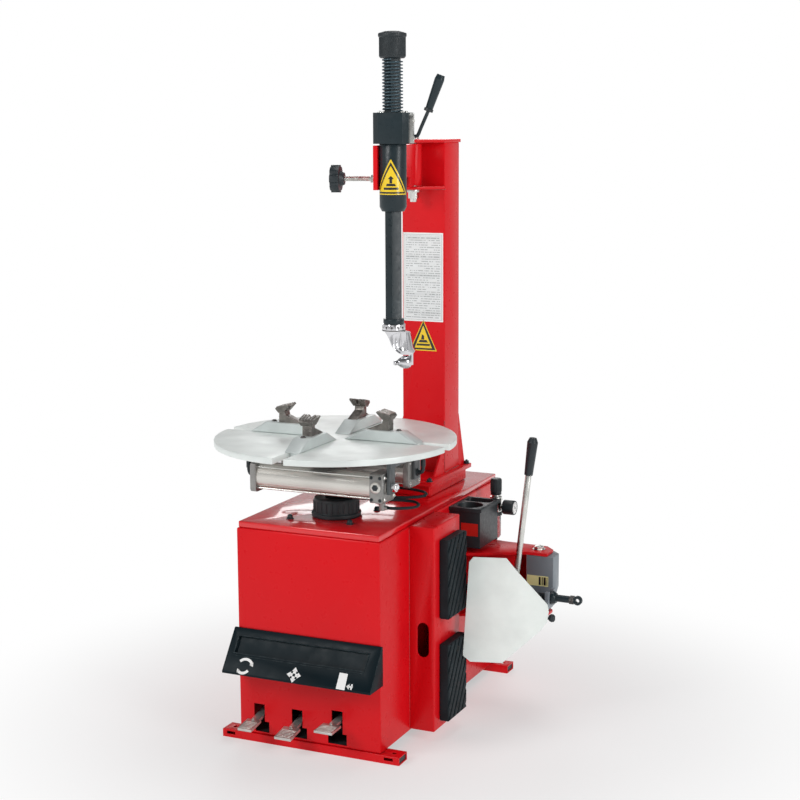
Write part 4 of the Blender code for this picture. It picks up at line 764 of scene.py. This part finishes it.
def add_console_icons():
    icons = Shape()
    upper = curve_through((0.039, 0.093), (0.0525, 0.0854), (0.0775, 0.0994))
    lower = curve_through((0.04, 0.1195), (0.056, 0.1245), (0.0695, 0.1155))
    ribbon(icons, upper, 0.0076)
    ribbon(icons, lower, 0.0076)
    arrow_head(icons, (0.081, 0.1035), (0.0745, 0.0955), 0.0125)
    arrow_head(icons, (0.0365, 0.1135), (0.042, 0.1215), 0.0115)
    cx, cs = 0.208, 0.1085
    for sx, ss in ((1, 0), (-1, 0), (0, 1), (0, -1)):
        ribbon(icons, [(cx + sx * 0.004, cs + ss * 0.004), (cx + sx * 0.0125, cs + ss * 0.0125)], 0.0085)
        arrow_head(icons, (cx + sx * 0.0215, cs + ss * 0.0215), (cx + sx * 0.0105, cs + ss * 0.0105), 0.0165)
    slab(icons, ((0.3376, 0.0832), (0.3618, 0.084), (0.3639, 0.1286), (0.3384, 0.1281)))
    ribbon(icons, [(0.37, 0.1173), (0.385, 0.1173)], 0.0045)
    arrow_head(icons, (0.366, 0.1173), (0.3745, 0.1173), 0.015)
    ribbon(icons, [(0.3815, 0.1095), (0.3815, 0.125)], 0.0042)
    icons.done("console_icons", "base", "white_print")

    lip = Shape()
    corners = [(0.011, 0.02), (0.41, 0.0195), (0.4065, 0.0735), (0.011, 0.0735)]
    inner = [(0.014, 0.023), (0.4065, 0.0226), (0.4035, 0.0705), (0.014, 0.0705)]
    for i in range(4):
        j = (i + 1) % 4
        slab(lip, (corners[i], corners[j], inner[j], inner[i]), -0.0006, 0.002)
    slab(lip, ((0.011, 0.077), (0.405, 0.077), (0.4045, 0.079), (0.011, 0.079)), -0.0006, 0.0016)
    lip.done("console_lip", "base", "console_plastic", 0.0005)


# ---- column, cabinet and support box ----

WELDS = [  # start, end, steps, radius, swell, waves along the bead
    *[((*a, 0.6684), (*b, 0.6684), 40, 0.0022, 0.0006, 130) for a, b in (
        ((0.2262, 0.599), (0.3608, 0.599)), ((0.3616, 0.6), (0.3616, 0.71)),
        ((0.2254, 0.6), (0.2254, 0.71)), ((0.2262, 0.7108), (0.3608, 0.7108)))],
    *[((x, 0.5985, 0.672), (x, 0.5985, 0.822), 40, 0.0018, 0.0005, 120) for x in (0.2257, 0.3613)],
    ((0.224, 0.5992, 1.4975), (0.363, 0.5992, 1.4975), 40, 0.0018, 0.0005, 120),
    ((0.224, 0.5994, 1.6302), (0.363, 0.5994, 1.6302), 40, 0.0016, 0.0005, 120),
    *[((0.43, y, 0.036), (0.43, y, 0.596), 90, 0.0014, 0.0004, 260) for y in (0.189, 0.37)],
]


def add_welds():
    bead = Shape()
    for start, end, steps, radius, swell, waves in WELDS:
        points = [[a + (b - a) * i / steps for a, b in zip(start, end)] for i in range(steps + 1)]
        bead.tube(points, lambda t: radius + swell * sin(t * waves), 8)
    bead.done("weld_beads", "base", "weld")


def add_cabinet_details():
    pan = Shape()
    pan.block((0.0045, 0.0045, 0.024), (0.4255, 0.8495, 0.0255))
    for y in (0.2, 0.42, 0.64):
        pan.block((0.006, y, 0.025), (0.424, y + 0.015, 0.029))
    pan.done("base_pan", "base", "cast_iron", 0.0005)

    panel = Shape()
    panel.block((0.012, 0.854, 0.3), (0.418, 0.8556, 0.595))
    for row in range(6):
        z = 0.36 + 0.025 * row
        panel.block((0.128, 0.8552, z + 0.0085), (0.302, 0.8585, z + 0.0105))
    panel.done("rear_panel_edge", "base", "red_paint", 0.0006)


def add_gland():
    ribs = Shape(table)
    for x, y in circle(24, 0.0612):
        ribs.rod((x, y, 0.6355), (x, y, 0.6655), 0.0032, 0.0028, segments=8)
    ribs.lathe([(0.0655, 0.634), (0.0685, 0.632), (0.069, 0.6285), (0.0675, 0.6275), (0.064, 0.63)],
               (0, 0, 0), UP, 48)
    ribs.done("gland_ribs", "base", "black_plastic")


# ---- swing arm and shaft ----

def add_cap():
    cap = Shape(shaft)
    for radius, low, high, rib in ((0.0362, 1.907, 1.9145, 0.0012), (0.0342, 1.856, 1.905, 0.0011)):
        for x, y in circle(48, radius):
            cap.rod((x, y, low), (x, y, high), rib, segments=6)
    cap.lathe([(0.0, 1.92045), (0.0165, 1.92045), (0.0175, 1.919), (0.0, 1.919)], (0, 0, 0), UP, 32)
    cap.done("cap_ribs", "vertical_shaft", "black_plastic")


def add_return_coil():
    spring = Shape(shaft)
    turns, steps, low, high, radius, wire = 16, 24, 1.712, 1.851, 0.0258, 0.0022
    points = []
    for i in range(turns * steps + 1):
        t = i / (turns * steps)
        angle = tau * turns * t
        z = low + wire + (high - low - 2 * wire) * t
        points.append((radius * cos(angle), radius * sin(angle), z))
    spring.tube(points, wire, 8)
    coil = spring.done("return_coil", None, "spring_steel", angle=180)
    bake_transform(coil)
    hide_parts("return_spring")


def add_lock_details():
    plate = Shape(arm)
    x0, x1, y = ARM_LENGTH, ARM_LENGTH + 0.022, 0.0473
    outline = [(x0, 1.632), (x1, 1.632), (x1, 1.694), (x1 - 0.003, 1.703), (x1 - 0.01, 1.709), (x0, 1.709)]
    plate.prism([(x, y, z) for x, z in outline], (0, 0.01, 0))
    for z in (1.645, 1.69):
        button_bolt(plate, (ARM_LENGTH + 0.011, 0.0573, z), (0, 1, 0), 0.004, 0.003)
    plate.done("lock_plate", "swing_arm", "zinc_steel", 0.0006)

    pivot = Shape(arm)
    lx, lz = ARM_LENGTH - 0.012, 1.65
    pivot.lathe([(0, 0.0078), (0.007, 0.0078), (0.0095, 0.006), (0.0095, 0.0004), (0, 0.0004)],
                (lx, 0.0474, lz), (0, 1, 0), 24)
    pivot.done("lever_boss", "lock_lever", "chrome_rod")
    ring = Shape(arm)
    ring.lathe([(0.0112, 0.004), (0.0125, 0.003), (0.0125, -0.003), (0.0112, -0.004)],
               (lx, 0.0935, lz + 0.068), (0, 0.3433, 0.9392), 24)
    ring.done("lever_grip_ring", "lock_lever", "black_plastic")


def add_adjusting_screw():
    knob = Shape(arm)
    kx, kz = ARM_LENGTH - 0.002, 1.5395
    knob.lathe([(0, 0.0022), (0.01, 0.0022), (0.013, 0.0008), (0.0135, 0.0001), (0, 0.0001)],
               (kx, -0.166, kz), FORWARD, 28)
    knob.lathe([(0, 0.004), (0.004, 0.004), (0.005, 0.003), (0.0055, 0.002), (0, 0.002)],
               (kx, -0.166, kz), FORWARD, 6)
    knob.done("knob_cap", "adjusting_knob", "black_plastic")
    nut = Shape(arm)
    nut.rod((kx, -0.052, kz), (kx, -0.06, kz), 0.0105, segments=6)
    nut.rod((kx, -0.0503, kz), (kx, -0.052, kz), 0.012, segments=24)
    nut.done("adjusting_nut", "swing_arm", "zinc_steel", 0.0005)
    thread = Shape(arm)
    profile, at = [(0.004, 0.0)], 0.0
    while at < 0.069:
        profile += [(0.0061, at), (0.0066, at + 0.0006), (0.0061, at + 0.0012)]
        at += 0.0013
    thread.lathe([*profile, (0.004, at)], (kx, -0.0605, kz), FORWARD, 24)
    thread.done("adjusting_thread", "adjusting_knob", "zinc_steel")


# ---- table group ----

HOSE_ROUTES = {
    "clamp_hose_front": [
        (0.0438, -0.0159, 0.682), (0.082, -0.024, 0.681), (0.132, -0.01, 0.678), (0.184, 0.01, 0.677),
        (0.228, 0.01, 0.677), (0.256, -0.018, 0.677), (0.26, -0.058, 0.679), (0.24, -0.089, 0.681),
        (0.216, -0.1, 0.681), (0.2023, -0.1, 0.681)],
    "clamp_hose_rear": [
        (0.0438, 0.0159, 0.682), (0.084, 0.028, 0.681), (0.14, 0.032, 0.678), (0.196, 0.048, 0.677),
        (0.228, 0.086, 0.677), (0.208, 0.128, 0.677), (0.152, 0.148, 0.677), (0.06, 0.15, 0.677),
        (-0.05, 0.149, 0.677), (-0.14, 0.148, 0.677), (-0.212, 0.145, 0.678), (-0.244, 0.128, 0.68),
        (-0.238, 0.107, 0.681), (-0.217, 0.1, 0.681), (-0.2023, 0.1, 0.681)],
}
PORT_FACE, HOSE_D = 0.0463, 0.008


def add_hoses():
    for name, route in HOSE_ROUTES.items():
        lead = [Vector(p) for p in route]
        outward = Vector((route[0][0], route[0][1], 0)).normalized()
        lead[0] = outward * PORT_FACE + Vector((0, 0, route[0][2]))
        path = [table(*p) for p in smooth_path(lead, 36 // (len(lead) - 1))]
        hose = Shape(as_given).tube(path, HOSE_D / 2, 14).done(name + "_line", None, "rubber", angle=180)
        if name.endswith("rear"):
            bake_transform(hose)
        else:
            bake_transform(hose)
        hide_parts(name)


def cylinder_trim(name, body, turn):
    """Screws, tie rods, seals and fittings on one clamp cylinder; turn is -1 for the rear one."""
    def at(x, y, z):
        return table(turn * x, turn * y, z)

    y, z, half, elbow_x = -0.1, 0.738, 0.04, 0.186
    (left, right), cap_end, plain_end = BARREL, 0.204, -0.191
    steel = Shape(at)
    for dy in (-0.029, 0.029):
        for dz in (-0.029, 0.029):
            hex_bolt(steel, (cap_end, y + dy, z + dz), RIGHT, 0.0048, 0.005, 1.2)
            button_bolt(steel, (plain_end, y + dy, z + dz), (-1, 0, 0), 0.0042, 0.0035)
            steel.rod((left - 0.0005, y + dy, z + dz), (right + 0.0005, y + dy, z + dz), 0.0028, segments=12)
    steel.done(f"cylinder_screws_{name}", body, "zinc_steel")
    cast = Shape(at)
    for outer, inner, low, high in ((0.0385, 0.03, right - 0.0015, right + 0.0008),
                                    (0.0205, 0.0118, cap_end - 0.001, cap_end + 0.002),
                                    (0.0385, 0.03, left - 0.0005, left + 0.002)):
        cast.lathe([(outer, high), (outer, low), (inner, low), (inner, high)], (0, y, z), RIGHT, 40)
    cast.lathe([(0, 0.0038), (0.0125, 0.0038), (0.015, 0.002), (0.015, 0.0002), (0, 0.0002)],
               (elbow_x, y - half, z + 0.004), FORWARD, 28)
    cast.done(f"cylinder_rings_{name}", body, "aluminium")
    fitting = Shape(at)
    fitting.lathe([(0, 0.007), (0.0072, 0.007), (0.0088, 0.0056), (0.0088, 0.003), (0, 0.003)],
                  (elbow_x, y - half, z + 0.004), FORWARD, 6)
    for dx in (-0.0125, 0.0125):
        for dz in (-0.03, 0.03):
            button_bolt(fitting, (elbow_x + dx, y - half, z + dz), FORWARD, 0.0034, 0.0028)
    fitting.lathe([(0, 0.012), (0.0095, 0.012), (0.0105, 0.01), (0.0105, 0.0002), (0, 0.0002)],
                  (plain_end, y, z), (-1, 0, 0), 6)
    fitting.rod((-0.2025, y, z), (-0.208, y, z), 0.007)
    elbow = ((-0.207, 0), (-0.213, 0.002), (-0.2165, 0.01), (-0.217, 0.02))
    fitting.tube(smooth_path([(x, y, z + up) for x, up in elbow], 6), 0.0052)
    fitting.rod((-0.217, y, z + 0.018), (-0.217, y, z + 0.034), 0.0068)
    fitting.lathe([(0, 0.006), (0.004, 0.0056), (0.006, 0.003), (0.006, 0.0), (0, 0.0)],
                  (-0.217, y, z + 0.034), UP, 20)
    fitting.done(f"cylinder_fittings_{name}", body, "black_plastic", 0.0004)


def add_table_details():
    hub = Shape(table)
    for angle in (45, 135, 225, 315):
        x, y = 0.041 * cos(radians(angle)), 0.041 * sin(radians(angle))
        hex_bolt(hub, (x, y, 0.8057), (0, 0, -1), 0.005, 0.005)
    hub.done("table_flange_bolts", "turntable", "zinc_steel")
    for index, side in enumerate(SIDES):
        angle = tau / 4 * index

        def at(x, y, z, a=angle):
            return table(cos(a) * x - sin(a) * y, sin(a) * x + cos(a) * y, z)

        trim = Shape(at)
        button_bolt(trim, (0.19, 0, 0.8705), UP, 0.006, 0.0045)
        trim.done(f"slide_screws_{side}", f"jaw_{side}", "dark_steel")
        clip = Shape(at)
        for y in (-0.009, 0.009):
            clip.rod((0.1672, y, 0.886), (0.1692, y, 0.886), 0.0034, 0.0026, segments=16)
        clip.done(f"jaw_rivets_{side}", f"jaw_{side}", "jaw_steel", 0.0003)


# ---- air unit, tray and breaker ----

UNIT_X, UNIT_Y = 0.5005, 0.66


def add_gauge():
    y, z, gauge_x, face = UNIT_Y, 0.566, 0.5155, 0.0446
    dial = Shape()
    dial.disc(0.0176, face - 0.0008, face, (gauge_x, y, z), RIGHT, 40)
    dial.done("gauge_dial", "base", "white_print")
    marks = Shape()
    for i in range(11):
        angle = radians(225 - 27 * i)
        c, s = cos(angle), sin(angle)
        inner = 0.0125 if i % 5 else 0.011
        n = Vector((-s, c)) * (0.00045 if i % 5 else 0.0008)
        ends = ((inner, 1), (0.0158, 1), (0.0158, -1), (inner, -1))
        quad = [(gauge_x + face, y + r * c + k * n.x, z + r * s + k * n.y) for r, k in ends]
        marks.prism(quad, (0.0003, 0, 0))
    c, s = cos(radians(130)), sin(radians(130))
    needle = [(y + c * 0.0115, z + s * 0.0115), (y - s * 0.0012 - c * 0.004, z + c * 0.0012 - s * 0.004),
              (y + s * 0.0012 - c * 0.004, z - c * 0.0012 - s * 0.004)]
    marks.prism([(gauge_x + face + 0.0003, u, v) for u, v in needle], (0.0003, 0, 0))
    marks.lathe([(0, 0.0456), (0.0022, 0.0456), (0.0024, face), (0, face)], (gauge_x, y, z), RIGHT, 16)
    marks.done("gauge_marks", "base", "black_film")
    rim = Shape()
    rim.lathe([(0.019, 0.0444), (0.0198, 0.0452), (0.0207, 0.0446), (0.0207, 0.0436), (0.019, 0.0436)],
              (gauge_x, y, z), RIGHT, 40)
    rim.done("gauge_rim", "base", "black_plastic")


def add_air_unit():
    knob = Shape()
    for dx, dy in circle(24, 0.016):
        knob.rod((UNIT_X + dx, UNIT_Y + dy, 0.612), (UNIT_X + dx, UNIT_Y + dy, 0.6465), 0.001, segments=6)
    knob.done("regulator_ribs", "regulator_knob", "black_plastic")
    ring = Shape()
    ring.lathe([(0.0158, 0.55), (0.0182, 0.5492), (0.0182, 0.54), (0.0158, 0.5392)],
               (UNIT_X, UNIT_Y, 0), UP, 32)
    ring.lathe([(0, 0.47), (0.0052, 0.47), (0.0052, 0.466), (0.003, 0.4642), (0, 0.4642)],
               (UNIT_X, UNIT_Y, 0), UP, 20)
    ring.done("bowl_ring", "base", "black_plastic")
    union = Shape()
    union.rod((UNIT_X, 0.678, 0.578), (UNIT_X, 0.69, 0.578), 0.008, segments=6)
    union.rod((UNIT_X, 0.689, 0.578), (UNIT_X, 0.7, 0.578), 0.0052)
    union.done("air_inlet", "base", "zinc_steel", 0.0005)


def add_tray_lip():
    liner = Shape()
    liner.lathe([(0.0362, 0.5994), (0.0378, 0.6008), (0.0392, 0.6004), (0.0396, 0.5996)],
                (0.478, 0.51, 0), UP, 40)
    liner.done("tray_cup_lip", "base", "black_plastic")


def add_breaker_details():
    knob = Shape(blade)
    knob.block((0.022, -0.0244, 0.3165), (0.038, -0.006, 0.3315))
    knob.rod((0.03, -0.012, 0.324), (0.05, -0.012, 0.324), 0.0045)
    knob.lathe([(0, 0.02), (0.006, 0.02), (0.0105, 0.016), (0.0115, 0.009), (0.008, 0.003), (0, 0)],
               (0.048, -0.012, 0.324), RIGHT, 24)
    knob.done("breaker_stop_knob", "breaker_blade", "black_plastic", 0.0004)

    pin = Shape()
    pin.disc(0.019, 0.0001, 0.0016, (0.6597, 0.5941, 0.468), UP, 32)
    pin.done("breaker_washer", "base", "zinc_steel", 0.0003)

    eye = Shape()
    eye.rod((0.79, 0.49, 0.36), (0.803, 0.49, 0.36), 0.0128, segments=6)
    eye.done("rod_lock_nut", "breaker_rod", "dark_steel", 0.0005)


add_cabinet_fasteners()
add_arm_fasteners()
add_pedal_treads()
add_signs()
add_console_icons()
add_welds()
add_cabinet_details()
add_gland()
add_cap()
add_return_coil()
add_lock_details()
add_adjusting_screw()
add_hoses()
cylinder_trim("front", "jaw_left", 1)
cylinder_trim("rear", "jaw_right", -1)
add_table_details()
add_gauge()
add_air_unit()
add_tray_lip()
add_breaker_details()


# ---- studio ----

def floor_material():
    """Pale floor that takes soft shadows near the machine and brightens into the white backdrop."""
    g = surface("floor", (0.86, 0.86, 0.86), 0.6, tint=(1.5, 0.01), bump=(90, 0.02, 0.0005))
    x, y, _ = g.node("ShaderNodeSeparateXYZ", {0: g.point}).outputs
    far = g.node("ShaderNodeMapRange", {"Value": g.distance(x, y), "From Min": 0.45, "From Max": 1.5},
                 interpolation_type="SMOOTHSTEP").outputs[0]
    glow = g.node("ShaderNodeEmission", {"Color": (1, 1, 1, 1), "Strength": 1.0}).outputs[0]
    share = g.spread(far, 0, 1, 0.45, 1.0)
    both = g.node("ShaderNodeMixShader", {0: share, 1: g.shader.outputs[0], 2: glow}).outputs[0]
    g.set(g.tree.nodes["Material Output"].inputs["Surface"], both)
    return g


ROOM_LIGHT = 0.62


def make_world():
    """White where it shows behind the machine; as light, a soft room that is darker overhead."""
    world = bpy.data.worlds.new("studio")
    bpy.context.scene.world = world
    world.use_nodes = True
    tree = world.node_tree
    link, new = tree.links.new, tree.nodes.new
    room = tree.nodes["Background"]
    point = new("ShaderNodeTexCoord")
    split = new("ShaderNodeSeparateXYZ")
    ramp = new("ShaderNodeValToRGB")
    link(point.outputs["Generated"], split.inputs[0])
    link(split.outputs[2], ramp.inputs[0])
    link(ramp.outputs[0], room.inputs[0])
    stops = ramp.color_ramp.elements
    stops[0].position, stops[0].color = 0.0, (0.95, 0.95, 0.95, 1)
    stops[1].position, stops[1].color = 1.0, (0.2, 0.2, 0.21, 1)
    for place, grey in ((0.1, 0.95), (0.3, 0.5), (0.5, 0.24)):
        stop = stops.new(place)
        stop.color = (grey, grey, grey, 1)
    room.inputs["Strength"].default_value = ROOM_LIGHT
    white = new("ShaderNodeBackground")
    white.inputs["Color"].default_value = (1, 1, 1, 1)
    path = new("ShaderNodeLightPath")
    mix = new("ShaderNodeMixShader")
    link(path.outputs["Is Camera Ray"], mix.inputs[0])
    link(room.outputs[0], mix.inputs[1])
    link(white.outputs[0], mix.inputs[2])
    link(mix.outputs[0], tree.nodes["World Output"].inputs["Surface"])


def make_studio():
    floor = Shape(as_given)
    floor.block((-9, -9, -0.02), (9, 9, 0.0))
    obj = floor.done("studio_floor", None, "floor")
    make_world()

    def panel(name, place, aim, size, power):
        data = bpy.data.lights.new(name, "AREA")
        data.shape, data.size, data.size_y, data.energy = "RECTANGLE", size[0], size[1], power
        lamp = add_object(name, data)
        lamp.location = place
        lamp.rotation_euler = (Vector(place) - Vector(aim)).to_track_quat("Z", "Y").to_euler()

    panel("key_light", (-2.2, -3.6, 3.0), (0, 0, 0.8), (1.6, 1.6), 78)
    panel("fill_light", (3.4, -1.6, 2.2), (0, 0, 0.8), (1.2, 2.4), 62)
    panel("top_light", (0.3, 0.6, 4.2), (0, 0, 0.8), (2.0, 2.0), 40)
    panel("back_light", (-1.6, 3.2, 2.4), (0, 0, 1.0), (1.6, 1.6), 25)
    bpy.context.scene.view_settings.view_transform = "Standard"


keep(floor_material())
make_studio()
